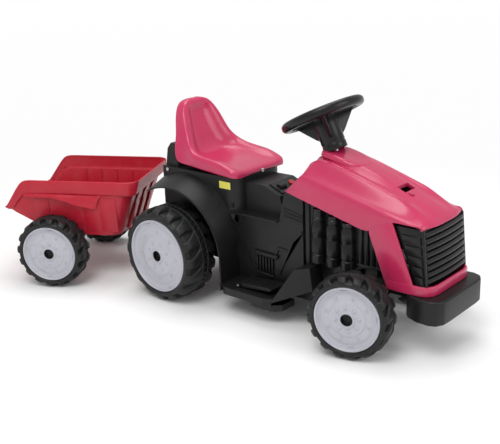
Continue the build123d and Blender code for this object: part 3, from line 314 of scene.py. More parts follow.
# ---------------------------------------------------------------- effects shared by the finishes
def new_group(name, inputs, outputs):
    """A shader node group with named inputs and outputs; returns it with its two end nodes."""
    group = bpy.data.node_groups.new(name, "ShaderNodeTree")
    for label, kind, default in inputs:
        socket = group.interface.new_socket(name=label, in_out="INPUT", socket_type=kind)
        socket.default_value = default
    for label, kind in outputs:
        group.interface.new_socket(name=label, in_out="OUTPUT", socket_type=kind)
    return group, group.nodes.new("NodeGroupInput"), group.nodes.new("NodeGroupOutput")


def wire(tree, kind, links=(), **settings):
    """A node with its settings and its incoming links, given as (socket, source or value) pairs."""
    node = tree.nodes.new(kind)
    for name, value in settings.items():
        setattr(node, name, value)
    for socket, source in links:
        if isinstance(source, bpy.types.NodeSocket):
            tree.links.new(source, node.inputs[socket])
        else:
            node.inputs[socket].default_value = source
    return node


def make_mould_tone():
    """Slow drifts of tone and gloss, as in thick mouldings."""
    tree, into, out = new_group(
        "Mould tone",
        [("Colour", "NodeSocketColor", (0.5, 0.5, 0.5, 1)), ("Amount", "NodeSocketFloat", 0.1),
         ("Size", "NodeSocketFloat", 14.0), ("Gloss", "NodeSocketFloat", 0.4)],
        [("Colour", "NodeSocketColor"), ("Gloss", "NodeSocketFloat")])
    place = wire(tree, "ShaderNodeTexCoord")
    drift = wire(tree, "ShaderNodeTexNoise", [("Vector", place.outputs["Object"]),
                                              ("Scale", into.outputs["Size"]), ("Detail", 4.0)])
    centred = wire(tree, "ShaderNodeMath", [(0, drift.outputs["Fac"]), (1, 0.5)], operation="SUBTRACT")
    swing = wire(tree, "ShaderNodeMath", [(0, centred.outputs[0]), (1, into.outputs["Amount"])],
                 operation="MULTIPLY")
    value = wire(tree, "ShaderNodeMath", [(0, swing.outputs[0]), (1, 1.0)], operation="ADD")
    tone = wire(tree, "ShaderNodeHueSaturation", [("Color", into.outputs["Colour"]),
                                                  ("Value", value.outputs[0])])
    gloss = wire(tree, "ShaderNodeMath", [(0, value.outputs[0]), (1, into.outputs["Gloss"])],
                 operation="MULTIPLY")
    tree.links.new(tone.outputs["Color"], out.inputs["Colour"])
    tree.links.new(gloss.outputs[0], out.inputs["Gloss"])
    return tree


def make_edge_highlight():
    """Rounded edges for the light, and a mask that paints pale highlights along the edges, broken into patches."""
    tree, into, out = new_group(
        "Edge highlight",
        [("Radius", "NodeSocketFloat", 0.001), ("Amount", "NodeSocketFloat", 0.3)],
        [("Highlight", "NodeSocketFloat"), ("Normal", "NodeSocketVector")])
    rounded = wire(tree, "ShaderNodeBevel", [("Radius", into.outputs["Radius"])], samples=4)
    flat = wire(tree, "ShaderNodeNewGeometry")
    likeness = wire(tree, "ShaderNodeVectorMath",
                    [(0, rounded.outputs["Normal"]), (1, flat.outputs["Normal"])],
                    operation="DOT_PRODUCT")
    turned = wire(tree, "ShaderNodeMath", [(0, 1.0), (1, likeness.outputs["Value"])],
                  operation="SUBTRACT")
    patchy = wire(tree, "ShaderNodeTexNoise", [("Vector", wire(tree, "ShaderNodeTexCoord").outputs["Object"]),
                                               ("Scale", 60.0), ("Detail", 3.0)])
    strong = wire(tree, "ShaderNodeMath", [(0, turned.outputs[0]), (1, patchy.outputs["Fac"])],
                  operation="MULTIPLY")
    mask = wire(tree, "ShaderNodeMath", [(0, strong.outputs[0]), (1, into.outputs["Amount"])],
                operation="MULTIPLY", use_clamp=True)
    tree.links.new(mask.outputs[0], out.inputs["Highlight"])
    tree.links.new(rounded.outputs["Normal"], out.inputs["Normal"])
    return tree


def make_grain():
    """The fine spark-eroded grain of a steel mould, as a height, with scattered pin-points."""
    tree, into, out = new_group(
        "Mould grain",
        [("Size", "NodeSocketFloat", 900.0), ("Depth", "NodeSocketFloat", 1.0)],
        [("Height", "NodeSocketFloat")])
    place = wire(tree, "ShaderNodeTexCoord")
    fine = wire(tree, "ShaderNodeTexNoise", [("Vector", place.outputs["Object"]),
                                             ("Scale", into.outputs["Size"]), ("Detail", 2.0)])
    cells = wire(tree, "ShaderNodeTexVoronoi", [("Vector", place.outputs["Object"]),
                                                ("Scale", into.outputs["Size"])])
    both = wire(tree, "ShaderNodeMath", [(0, fine.outputs["Fac"]), (1, cells.outputs["Distance"])],
                operation="ADD")
    height = wire(tree, "ShaderNodeMath", [(0, both.outputs[0]), (1, into.outputs["Depth"])],
                  operation="MULTIPLY")
    tree.links.new(height.outputs[0], out.inputs["Height"])
    return tree


def make_scuffs():
    """Fine crossing scratches and dusty patches, each as a mask."""
    tree, into, out = new_group(
        "Scuffs",
        [("Scratches", "NodeSocketFloat", 0.5), ("Dust", "NodeSocketFloat", 0.3)],
        [("Scratches", "NodeSocketFloat"), ("Dust", "NodeSocketFloat")])
    place = wire(tree, "ShaderNodeTexCoord")
    lines = []
    for turn, stretch in ((0.6, 260.0), (-0.9, 340.0)):
        grid = wire(tree, "ShaderNodeMapping", [("Vector", place.outputs["Object"]),
                                                ("Rotation", (turn, turn / 2, turn)),
                                                ("Scale", (stretch, 9.0, 9.0))])
        streak = wire(tree, "ShaderNodeTexNoise", [("Vector", grid.outputs[0]), ("Scale", 1.0),
                                                   ("Detail", 2.0)])
        lines.append(wire(tree, "ShaderNodeMapRange",
                          [("Value", streak.outputs["Fac"]), ("From Min", 0.70), ("From Max", 0.78)]))
    crossed = wire(tree, "ShaderNodeMath", [(0, lines[0].outputs[0]), (1, lines[1].outputs[0])],
                   operation="MAXIMUM")
    scratches = wire(tree, "ShaderNodeMath", [(0, crossed.outputs[0]), (1, into.outputs["Scratches"])],
                     operation="MULTIPLY")
    cloud = wire(tree, "ShaderNodeTexNoise", [("Vector", place.outputs["Object"]), ("Scale", 22.0),
                                              ("Detail", 6.0), ("Roughness", 0.7)])
    patches = wire(tree, "ShaderNodeMapRange", [("Value", cloud.outputs["Fac"]), ("From Min", 0.45),
                                                ("From Max", 0.8)])
    dust = wire(tree, "ShaderNodeMath", [(0, patches.outputs[0]), (1, into.outputs["Dust"])],
                operation="MULTIPLY")
    tree.links.new(scratches.outputs[0], out.inputs["Scratches"])
    tree.links.new(dust.outputs[0], out.inputs["Dust"])
    return tree


GROUPS = {}
FINISHES = {}


def placed(tree, group, **values):
    """One of the shared effects, with its values."""
    node = tree.nodes.new("ShaderNodeGroup")
    node.node_tree = GROUPS[group]
    for name, value in values.items():
        node.inputs[name].default_value = value
    return node


def mixed(tree, factor, a, b):
    """Mixes two colours, each a socket or a plain colour."""
    node = tree.nodes.new("ShaderNodeMix")
    node.data_type = "RGBA"
    tree.links.new(factor, node.inputs["Factor"])
    for socket, colour in ((node.inputs[6], a), (node.inputs[7], b)):
        if isinstance(colour, bpy.types.NodeSocket):
            tree.links.new(colour, socket)
        else:
            socket.default_value = (*colour[:3], 1)
    return node.outputs[2]


def make_finish(name, colour, gloss, tone=0.10, highlight=0.4, highlight_colour=(0.5, 0.5, 0.5), grain=0.15,
                grain_size=900.0, edge=0.0008, scratches=0.2, dust=0.1, dusty=(0.45, 0.43, 0.4),
                metal=0.0, coat=0.0, shine=0.5):
    """One moulded or plated finish: drifting tone, pale highlights painted along the edges, scuffs, dust and
    grain.
    """
    finish = bpy.data.materials.new(name)
    finish.use_nodes = True
    tree = finish.node_tree
    shader = tree.nodes["Principled BSDF"]
    shader.inputs["Coat Roughness"].default_value = 0.12
    shader.inputs["Metallic"].default_value = metal
    shader.inputs["Coat Weight"].default_value = coat
    shader.inputs["Specular IOR Level"].default_value = shine
    drift = placed(tree, "Mould tone", Colour=(*colour[:3], 1), Amount=tone, Gloss=gloss)
    edges = placed(tree, "Edge highlight", Radius=edge, Amount=highlight)
    scuffs = placed(tree, "Scuffs", Scratches=scratches, Dust=dust)
    # paints pale highlights along the edges into the base colour
    highlighted = mixed(tree, edges.outputs["Highlight"], drift.outputs["Colour"], highlight_colour)
    dusted = mixed(tree, scuffs.outputs["Dust"], highlighted, dusty)
    tree.links.new(dusted, shader.inputs["Base Color"])
    rougher = wire(tree, "ShaderNodeMath",
                   [(0, scuffs.outputs["Scratches"]), (1, 0.35), (2, drift.outputs["Gloss"])],
                   operation="MULTIPLY_ADD", use_clamp=True)
    tree.links.new(rougher.outputs[0], shader.inputs["Roughness"])
    surface = placed(tree, "Mould grain", Size=grain_size, Depth=1.0)
    bump = wire(tree, "ShaderNodeBump", [("Strength", grain), ("Distance", 0.0002),
                                         ("Height", surface.outputs["Height"]),
                                         ("Normal", edges.outputs["Normal"])])
    tree.links.new(bump.outputs["Normal"], shader.inputs["Normal"])
    FINISHES[name] = finish
    return finish


# ---------------------------------------------------------------- what a user would change
def colour_setting(name, description, default):
    return bpy.props.FloatVectorProperty(name=name, description=description, default=default,
                                         subtype="COLOR", size=3, min=0, max=1)


def length_setting(name, description, default):
    return bpy.props.FloatProperty(name=name, description=description, default=default,
                                   subtype="DISTANCE", unit="LENGTH", min=0)


def node_size(node):
    """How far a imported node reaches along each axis, in millimetres."""
    low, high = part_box(node)
    return (Vector(high) - Vector(low)) / MM


class TractorSizes(bpy.types.PropertyGroup):
    lugs: bpy.props.IntProperty(name="Lugs", description="Lugs round each row of a tyre",
                                default=16, min=6, max=32)
    lug_depth: length_setting("Lug depth", "How deep the pockets between the lugs are", 0.0105)
    bolts: bpy.props.IntProperty(name="Bolts", description="Domed bolts round each hub",
                                 default=8, min=3, max=16)
    louvres: bpy.props.IntProperty(name="Louvres", description="Louvres down the radiator grille",
                                   default=8, min=3, max=14)
    edge: length_setting("Edge rounding", "Radius of the small moulded edges", 0.0012)


class TractorColours(bpy.types.PropertyGroup):
    bonnet: colour_setting("Hood and seat", "Magenta of the hood and the seat", (0.50, 0.018, 0.088))
    tub: colour_setting("Trailer tub", "Red of the trailer tub", (0.46, 0.012, 0.030))
    body: colour_setting("Body", "Black of the body mouldings", (0.0085, 0.0085, 0.0095))
    tyre: colour_setting("Tyres", "Black of the tyres", (0.011, 0.0115, 0.012))
    rim: colour_setting("Wheel discs", "Pale grey of the wheel discs", (0.45, 0.45, 0.50))
    label: colour_setting("Labels", "Yellow of the blank labels", (0.72, 0.66, 0.10))
    floor: colour_setting("Floor", "The pale floor and backdrop", (0.93, 0.93, 0.93))


SLOT_FINISH = {"black_body": "satin black", "magenta": "magenta gloss", "red": "red gloss",
               "black_gloss": "semi-gloss black", "tyre_plastic": "tyre black",
               "rim_grey": "disc grey", "label": "label film", "steel": "zinc plate",
               "inner_plastic": "inner black", "switch_red": "switch red"}


class TRACTOR_OT_finishes(bpy.types.Operator):
    """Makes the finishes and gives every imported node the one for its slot"""
    bl_idname = "tractor.finishes"
    bl_label = "Finishes"

    def execute(self, context):
        colours, edge = context.scene.tractor_colours, context.scene.tractor_sizes.edge
        GROUPS.update({"Mould tone": make_mould_tone(), "Edge highlight": make_edge_highlight(),
                       "Mould grain": make_grain(), "Scuffs": make_scuffs()})
        # each finish's paler edge colour below is painted on its edges as a highlight
        pale = (0.92, 0.35, 0.48)
        make_finish("magenta gloss", colours.bonnet, 0.30, tone=0.08, highlight=0.5, highlight_colour=pale,
                    grain=0.05, grain_size=500, edge=edge, scratches=0.15, dust=0.04,
                    dusty=(0.8, 0.4, 0.5), coat=0.25)
        make_finish("red gloss", colours.tub, 0.36, shine=0.35, tone=0.10, highlight=0.5, highlight_colour=(0.85, 0.25, 0.25),
                    grain=0.06, grain_size=500, edge=edge, scratches=0.25, dust=0.06,
                    dusty=(0.7, 0.3, 0.3))
        make_finish("satin black", colours.body, 0.40, shine=0.30, highlight=0.55, highlight_colour=(0.07, 0.07, 0.075),
                    grain=0.22, grain_size=800, edge=edge, scratches=0.25, dust=0.10,
                    dusty=(0.05, 0.05, 0.05))
        make_finish("semi-gloss black", [0.9 * c for c in colours.body], 0.30, shine=0.30, highlight=0.5,
                    highlight_colour=(0.06, 0.06, 0.065), grain=0.10, grain_size=700, edge=edge, scratches=0.2,
                    dust=0.08, dusty=(0.05, 0.05, 0.05))
        make_finish("tyre black", colours.tyre, 0.44, shine=0.30, highlight=0.6, highlight_colour=(0.06, 0.06, 0.06),
                    grain=0.25, grain_size=650, edge=edge, scratches=0.3, dust=0.16,
                    dusty=(0.06, 0.058, 0.055))
        make_finish("disc grey", colours.rim, 0.36, tone=0.05, highlight=0.3, highlight_colour=(0.8, 0.8, 0.84),
                    grain=0.10, grain_size=600, edge=edge, scratches=0.2, dust=0.10,
                    dusty=(0.55, 0.54, 0.56))
        make_finish("label film", colours.label, 0.38, tone=0.12, highlight=0.2, highlight_colour=(0.8, 0.78, 0.4),
                    grain=0.05, grain_size=300, edge=edge / 4, scratches=0.3, dust=0.10,
                    dusty=(0.5, 0.48, 0.3))
        make_finish("zinc plate", (0.56, 0.57, 0.60), 0.32, tone=0.22, highlight=0.2,
                    highlight_colour=(0.75, 0.75, 0.77), grain=0.10, grain_size=1200, edge=edge / 3,
                    scratches=0.5, dust=0.12, metal=1.0)
        make_finish("inner black", (0.02, 0.02, 0.022), 0.5, shine=0.3, highlight=0.3, highlight_colour=(0.2, 0.2, 0.2),
                    grain=0.2, grain_size=800, edge=edge / 2, dust=0.2)
        make_finish("switch red", (0.42, 0.02, 0.02), 0.30, highlight=0.3, highlight_colour=(0.7, 0.2, 0.2),
                    grain=0.04, grain_size=500, edge=edge / 2, dust=0.03)
        slots = {part["node"]: part["material_slot"] for part in frame["record"]["subparts"]}
        for name, node in frame["nodes"].items():
            finish = FINISHES[SLOT_FINISH[slots[name]]]
            if not node.material_slots:
                node.data.materials.append(finish)
            for slot in node.material_slots:
                slot.material = finish
        return {"FINISHED"}


# ---------------------------------------------------------------- stage
CAMERA_AT = Vector((1533.0, -1596.8, 876.8))      # millimetres, from below the rear axle
CAMERA_YAW, CAMERA_PITCH, CAMERA_ROLL = map(math.radians, (131.2, -18.1, -2.0))
CAMERA_LENS = 61.3


class TRACTOR_OT_stage(bpy.types.Operator):
    """Lays the pale floor and sets up the camera and the soft studio lights"""
    bl_idname = "tractor.stage"
    bl_label = "Stage"

    def execute(self, context):
        floor_colour = context.scene.tractor_colours.floor
        let_go()
        bpy.ops.mesh.primitive_plane_add(size=30, location=(0, 0, 0))
        floor = bpy.context.object
        floor.name = "floor"
        paper = bpy.data.materials.new("studio floor")
        paper.use_nodes = True
        shader = paper.node_tree.nodes["Principled BSDF"]
        shader.inputs["Base Color"].default_value = (*floor_colour, 1)
        shader.inputs["Roughness"].default_value = 0.8
        shader.inputs["Emission Color"].default_value = (1, 1, 1, 1)
        self.fade_out(paper.node_tree, shader, floor_colour)
        floor.data.materials.append(paper)
        self.add_camera(context)
        self.add_lights(context)
        return {"FINISHED"}

    def fade_out(self, tree, shader, floor_colour):
        """Lets the paper turn from lit to evenly bright with distance, as a lit backdrop does."""
        place = tree.nodes.new("ShaderNodeTexCoord").outputs["Object"]
        distance = wire(tree, "ShaderNodeVectorMath", [(0, place)], operation="LENGTH")
        far = wire(tree, "ShaderNodeMapRange", [("Value", distance.outputs["Value"]), ("From Min", 0.5),
                                                ("From Max", 1.9)], interpolation_type="SMOOTHSTEP")
        tree.links.new(mixed(tree, far.outputs[0], floor_colour, (0, 0, 0)), shader.inputs["Base Color"])
        glow = wire(tree, "ShaderNodeMath", [(0, far.outputs[0]), (1, 0.94)], operation="MULTIPLY")
        tree.links.new(glow.outputs[0], shader.inputs["Emission Strength"])

    def add_camera(self, context):
        ahead = Vector((math.cos(CAMERA_YAW) * math.cos(CAMERA_PITCH),
                        math.sin(CAMERA_YAW) * math.cos(CAMERA_PITCH), math.sin(CAMERA_PITCH)))
        level = ahead.cross(Vector((0, 0, 1))).normalized()
        above = level.cross(ahead)
        right = math.cos(CAMERA_ROLL) * level + math.sin(CAMERA_ROLL) * above
        up = math.cos(CAMERA_ROLL) * above - math.sin(CAMERA_ROLL) * level
        bpy.ops.object.camera_add()
        camera = bpy.context.object
        camera.name = "camera"
        camera.data.lens = CAMERA_LENS
        camera.data.clip_end = 100
        turn = Matrix((right, up, -ahead)).transposed().to_4x4()
        camera.matrix_world = Matrix.Translation(TRACTOR @ CAMERA_AT) @ turn
        context.scene.camera = camera

    def add_lights(self, context):
        middle = (Vector(CAD_BOX[0]) + Vector(CAD_BOX[1])) / 2
        for name, place, size, power in (("key", (0.6, -1.6, 2.6), 1.8, 42),
                                         ("fill", (2.6, 0.3, 1.3), 1.6, 16),
                                         ("top", (-0.6, 0.8, 2.8), 2.2, 34)):
            bpy.ops.object.light_add(type="AREA", location=middle + Vector(place))
            light = bpy.context.object
            light.name = name
            light.data.shape = "DISK"
            light.data.size = size
            light.data.energy = power
            light.rotation_euler = (-Vector(place)).to_track_quat("-Z", "Y").to_euler()
        world = bpy.data.worlds.new("studio")
        world.use_nodes = True
        world.node_tree.nodes["Background"].inputs["Color"].default_value = (1, 1, 1, 1)
        tree = world.node_tree
        seen = tree.nodes.new("ShaderNodeLightPath").outputs["Is Camera Ray"]
        strength = tree.nodes.new("ShaderNodeMapRange")
        strength.inputs["To Min"].default_value = 0.62
        strength.inputs["To Max"].default_value = 0.94
        tree.links.new(seen, strength.inputs["Value"])
        tree.links.new(strength.outputs[0], tree.nodes["Background"].inputs["Strength"])
        context.scene.world = world
        context.scene.view_settings.view_transform = "Standard"


# ---------------------------------------------------------------- wheels
WHEELS = ("rear_wheel_right", "rear_wheel_left", "front_wheel_right", "front_wheel_left",
          "trailer_wheel_right", "trailer_wheel_left")


def wheel_part(wheel, part):
    """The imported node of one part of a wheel, such as its tyre."""
    return wheel.replace("wheel", part)


def wheel_sizes(wheel):
    """Radius, width and disc radius of a wheel, in millimetres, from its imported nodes."""
    axle = joint_axis(f"{wheel}_spin")
    tyre = frame["nodes"][wheel_part(wheel, "tyre")]
    reach = [corner.co.dot(axle) / MM for corner in tyre.data.vertices]
    disc = node_size(wheel_part(wheel, "rim")).z / 2
    return node_size(wheel_part(wheel, "tyre")).z / 2, max(reach) - min(reach) - 2.0, disc


# a lug's stations from the parting ring to the sidewall: place across the half width, drop below the
# tread as a share of the sidewall, half width as a share of the pitch, and its inward direction
LUG_STATIONS = ((0.05, 0.00, 0.47, 1.0), (0.22, 0.00, 0.40, 1.0), (0.42, 0.00, 0.31, 1.0),
                (0.62, 0.01, 0.265, 0.95), (0.77, 0.07, 0.25, 0.8), (0.88, 0.20, 0.25, 0.55),
                (0.955, 0.38, 0.27, 0.3), (0.99, 0.58, 0.32, 0.12))
LUG_SECTION = ((-1.22, 1.12), (-1.04, 0.12), (-0.80, 0.0), (0.0, -0.04), (0.80, 0.0), (1.04, 0.12),
               (1.22, 1.12))


def lug_piece(tread, half, wall, pitch, depth):
    """One lug, swept from the parting ring over the shoulder on to the sidewall."""
    rows = []
    for place, drop, share, inward in LUG_STATIONS:
        row = []
        for side, sunk in LUG_SECTION:
            sink = sunk * depth
            radius = tread - drop * wall - sink * inward
            height = place * half - sink * (1 - inward)
            angle = pitch * (side * share + 0.30 * (1 - place) ** 1.5)
            row.append((radius * math.cos(angle), radius * math.sin(angle), height))
        rows.append(row)
    return smooth_out(skin(rows), 1)


def tyre_piece(radius, width, disc, lugs, depth):
    """A hollow moulded tyre: rounded shoulders, two rows of lugs, a parting ring and a ribbed band."""
    half, tread = width / 2, radius - 0.6
    wall, valley, ribs = tread - disc, tread - depth, 6 * lugs
    outer = [(disc + 0.3, half - 12), (disc + 0.3, half - 4.5), (disc + 2.0, half - 1.8),
             (disc + 0.22 * wall, half - 0.3), (disc + 0.36 * wall, half), (disc + 0.44 * wall, half - 1.0),
             (disc + 0.52 * wall, half - 0.09 * half), (valley - 5, 0.86 * half), (valley - 1, 0.78 * half),
             (valley, 0.68 * half), (valley, 0.11 * half)]
    band = [(tread, 0.09 * half), (tread + 0.6, 0.06 * half), (tread + 0.4, 0.02 * half),
            (tread - 3.8, 0.0), (tread - 3.8, -0.30 * half), (tread - 1, -0.315 * half),
            (tread - 1, -0.345 * half), (valley, -0.365 * half)]
    inner = [(r, -h) for r, h in reversed(outer[:-1])]
    inside = [(disc + 2, -half + 9), (valley - 9, -half + 14), (valley - 5, -half + 20),
              (valley - 5, half - 20), (valley - 9, half - 14), (disc + 2, half - 9)]
    carcass = spun(outer + band + inner + inside, ribs)

    def rib(face):
        centre = face.calc_center_median()
        near = abs(math.hypot(centre.x, centre.y) - tread + 3.8) < 0.8
        turn = math.atan2(centre.y, centre.x) / math.tau * ribs
        return near and -0.29 * half < centre.z < -0.01 * half and math.floor(turn) % 2
    edit(carcass, "FACE")
    pick(rib)
    bpy.ops.mesh.extrude_region_shrink_fatten(TRANSFORM_OT_shrink_fatten={"value": 1.6})
    bpy.ops.object.mode_set(mode="OBJECT")
    soften(carcass, 0.8, segments=2, angle=30)
    lug = lug_piece(tread, half, wall, math.tau / lugs, depth)
    far = twin(lug, Matrix.Translation((0, 0, -0.31 * half)) @ Matrix.Diagonal((1, 1, -0.69, 1))
               @ Matrix.Rotation(math.pi / lugs, 4, "Z"))
    return joined(carcass, round_copies(lug, lugs), round_copies(far, lugs))


class TRACTOR_OT_tyres(bpy.types.Operator):
    """Models the six lugged tyres"""
    bl_idname = "tractor.tyres"
    bl_label = "Tyres"

    def execute(self, context):
        sizes = context.scene.tractor_sizes
        made = {}
        for wheel in WHEELS:
            radius, width, disc = wheel_sizes(wheel)
            key = round(radius), round(width)
            if key not in made:
                made[key] = tyre_piece(radius, width, disc, sizes.lugs, sizes.lug_depth / MM)
            node = wheel_part(wheel, "tyre")
            settle(twin(made[key], Matrix.Identity(4)), f"{node}_moulding", wheel_place(wheel), wheel,
                   "tyre black", [node], angle=40)
        for piece in made.values():
            bpy.data.objects.remove(piece)
        return {"FINISHED"}


BOLT_CIRCLE = 0.37          # of the disc's radius
MARK_CIRCLE = 0.655


def disc_piece(width, disc, bolts):
    """A wheel disc: bead, dish, stepped rings, hub boss with its deep well, and the barrel."""
    face = width / 2 - 7.5
    boss, well, deep, hub = 18.3, 14.0, 26.0, 15.5
    rim = disc - 0.2
    front = [(rim, face - 6), (rim, face + 4.2), (rim - 1.2, face + 5.6), (rim - 3.4, face + 5.6),
             (rim - 5.4, face + 3.6), (rim - 6.6, face - 0.5), (rim - 9.5, face - 2.2),
             (0.80 * rim, face - 2.6), (0.775 * rim, face - 1.4), (0.735 * rim, face - 0.6),
             (0.56 * rim, face - 0.6), (0.54 * rim, face + 0.9), (0.52 * rim, face + 1.4),
             (0.33 * rim, face + 1.6), (boss + 2.5, face + 1.6), (boss + 0.8, face + 2.4),
             (boss, face + 4.6), (boss - 1.0, face + 5.4), (well + 0.8, face + 5.4), (well, face + 4.6),
             (well, face + 5.4 - deep), (6.2, face + 5.4 - deep)]
    back = [(6.2, -width / 2 + 4), (hub, -width / 2 + 4), (hub, face - 4.5),
            (rim - 9.5, face - 5.4), (rim - 4, face - 7), (rim - 4, -width / 2 + 12),
            (rim, -width / 2 + 12)]
    piece = spun(front + back, 96)
    soften(piece, 0.35, segments=1, angle=50)
    parts = [piece]
    let_go()
    bpy.ops.mesh.primitive_uv_sphere_add(segments=16, ring_count=8, radius=4.5,
                                         location=(BOLT_CIRCLE * rim, 0, face + 1.3))
    bolt = bpy.context.object
    bolt.scale.z = 0.75
    bpy.ops.object.transform_apply(location=True, rotation=True, scale=True)
    parts.append(round_copies(bolt, bolts, first=22.5))
    low, high = face - 1.5, face + 0.7
    mark = plank([(MARK_CIRCLE * rim - 4.0, -1.0), (MARK_CIRCLE * rim + 4.2, -4.4),
                  (MARK_CIRCLE * rim + 4.2, -2.2), (MARK_CIRCLE * rim - 1.0, 0.0),
                  (MARK_CIRCLE * rim + 4.2, 2.2), (MARK_CIRCLE * rim + 4.2, 4.4),
                  (MARK_CIRCLE * rim - 4.0, 1.0)], low, high, "Z")
    soften(mark, 0.3, segments=1)
    parts.append(round_copies(mark, bolts, first=0.0))
    tab = box((rim - 11.5, -7, face - 3), (rim - 9.0, 7, face - 0.4))
    soften(tab, 0.5, segments=2)
    parts.append(round_copies(tab, bolts // 2, first=22.5))
    rib = plank([(hub - 1, -width / 2 + 14), (rim - 5, -width / 2 + 14), (rim - 5, face - 5),
                 (hub - 1, face - 5)], -1.5, 1.5)
    parts.append(round_copies(rib, 6))
    return joined(*parts)


def hub_plug(width):
    """The black cup pressed into the hub's well, over the axle nut."""
    outer = width / 2
    piece = spun([(13.9, outer - 15), (13.9, outer - 2.6), (13.2, outer - 2.2), (12.4, outer - 2.8),
                  (12.2, outer - 12.5), (5.0, outer - 13.2), (4.4, outer - 12.4), (0.02, outer - 12.2),
                  (0.02, outer - 14.5)], 48)
    return piece


class TRACTOR_OT_discs(bpy.types.Operator):
    """Models the six pale wheel discs and their black hub plugs"""
    bl_idname = "tractor.discs"
    bl_label = "Wheel discs"

    def execute(self, context):
        made = {}
        for wheel in WHEELS:
            radius, width, disc = wheel_sizes(wheel)
            key = round(radius), round(width)
            if key not in made:
                made[key] = disc_piece(width, disc, context.scene.tractor_sizes.bolts)
            node = wheel_part(wheel, "rim")
            settle(twin(made[key], Matrix.Identity(4)), f"{node}_moulding", wheel_place(wheel), wheel,
                   "disc grey", [node], angle=40)
            settle(hub_plug(width), f"{wheel}_hub_plug", wheel_place(wheel), wheel,
                   "satin black", angle=40)
        for piece in made.values():
            bpy.data.objects.remove(piece)
        return {"FINISHED"}


# ---------------------------------------------------------------- hood, grille and bumper
def node_corner(node, high=True):
    """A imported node's highest or lowest corner, in millimetres from below the rear axle."""
    return (Vector(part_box(node)[1 if high else 0]) - MIDDLE) / MM


TOE_X = node_corner("hood").x                      # front of the hood's lower rim
RIM_Z = node_corner("hood", high=False).z
HOOD_BACK_X = node_corner("hood", high=False).x
HOOD_Y = node_corner("hood").y


def along(points, x):
    """Reads a line of (x, value) points at x."""
    if x <= points[0][0]:
        return points[0][1]
    for (x0, a), (x1, b) in zip(points, points[1:]):
        if x <= x1:
            return a + (b - a) * (x - x0) / (x1 - x0)
    return points[-1][1]


def from_toe(points):
    """Moves a line's points from distances behind the hood's toe to places."""
    return [(TOE_X + x, value) for x, value in points]


# heights along the hood, each at a distance from the toe
CENTRE_LINE = from_toe(((-349, 393), (-335, 402), (-315, 407), (-288, 407.5), (-259, 402), (-230, 394),
                        (-190, 382), (-161, 370), (-137, 359), (-99, 342), (-71, 330), (-46, 319),
                        (-31, 309), (-22, 298)))
RIDGE_LINE = from_toe(((-349, 381), (-335, 392), (-318, 400), (-300, 400.5), (-244, 386), (-204, 374),
                       (-151, 357), (-101, 341), (-60, 327), (-38, 315), (-22, 299)))
COWL_LINE = from_toe(((-345, 412), (-330, 417), (-300, 413), (-265, 405), (-236, 396.5), (-205, 387.5)))
LOWER_EDGE = from_toe(((-392, 321), (-157, 262.5), (-150, 276), (-118, 296), (-99, 299.5), (-20, 296)))


HOOD_STATIONS = (0, 0.02, 0.08, 0.16, 0.25, 0.34, 0.43, 0.52, 0.60, 0.66, 0.70, 0.76, 0.83, 0.90, 0.95,
                 0.98, 1.0)          # shares of the way from the rear edge to the nose
HOOD_WALL = 2.6
REAR_RAKE = 46                      # how far the side's top corner stands ahead of its lower one
NOSE_BACK, NOSE_ROUND = 21, 12      # the nose behind the toe, and its corners behind its middle
NOSE_LIP, REAR_LIP = 7, 30          # how far the shell turns down at its ends
SLOT_X, SLOT_HALF, SLOT_DEEP = TOE_X - 121, (11, 22), 9


def crease_height(x):
    """Height of the crease between the hood's sloping shoulder and its side."""
    return 372 - 0.232 * (x - TOE_X + 350)


# columns from the middle to the lower edge: half width, kind of height, and its share or drop
HOOD_COLUMNS = ((0, "centre", 0), (16, "centre", 0.2), (25, "centre", 0.8), (30, "centre", 4.2),
                (41, "dip", 4.5), (50, "ridge", 0.2), (55, "ridge", -2.2), (60, "ridge", -2.0),
                (65, "ridge", 2.2), (76, "slope", 0.55), (84, "slope", 0.92), (89.5, "side", 0.0),
                (93.5, "side", 0.10), (95.6, "side", 0.30), (HOOD_Y, "side", 0.65), (HOOD_Y, "side", 0.94),
                (HOOD_Y - 0.6, "side", 1.0))


def hood_height(x, kind, value):
    """Height of one column of the hood's section at x."""
    centre, ridge, crease = along(CENTRE_LINE, x), along(RIDGE_LINE, x), crease_height(x)
    if kind == "centre":
        return centre - value
    if kind == "dip":
        return (centre + ridge) / 2 - value
    if kind == "ridge":
        return ridge - value
    if kind == "slope":
        return ridge - 2.2 + (crease + 2.2 - ridge) * value
    return crease - 1.5 - value * (crease - 1.5 - along(LOWER_EDGE, x))


def hood_top():
    """The hood's shell: sections from the rear edge to the nose, with a lip turned down at each end."""
    rows = []
    for share in HOOD_STATIONS:
        half = []
        for y, kind, value in HOOD_COLUMNS:
            back = HOOD_BACK_X + REAR_RAKE * (1 - value if kind == "side" else 1)
            front = TOE_X - NOSE_BACK - NOSE_ROUND * (y / HOOD_Y) ** 3
            x = back + (front - back) * share
            narrow = 1 - 0.085 * max(0.0, (x - TOE_X + 110) / 110) ** 1.3
            height, flat = hood_height(x, kind, value), along(CENTRE_LINE, x)
            if kind != "side":
                flat += (crease_height(x) - flat) * (y / 90) ** 2
                height = flat + (height - flat) * min(1.0, max(0.0, (TOE_X - 30 - x) / 70))
            half.append((x, y * narrow, height))
        rows.append([(x, -y, z) for x, y, z in reversed(half)] + half[1:])
    rows.append([(x + 2.2, y * 0.995, z - (NOSE_LIP if z > 290 else 0)) for x, y, z in rows[-1]])
    drops = [REAR_LIP * (1 - value if kind == "side" else 1) for _, kind, value in HOOD_COLUMNS]
    drops = drops[:0:-1] + drops
    rows.insert(0, [(x + 2, y * 0.985, z - drop) for (x, y, z), drop in zip(rows[0], drops)])
    piece = cut_slot(smooth_out(skin(rows), 2))
    thicken(piece, HOOD_WALL)
    return soften(piece, 0.7, segments=2, angle=50)


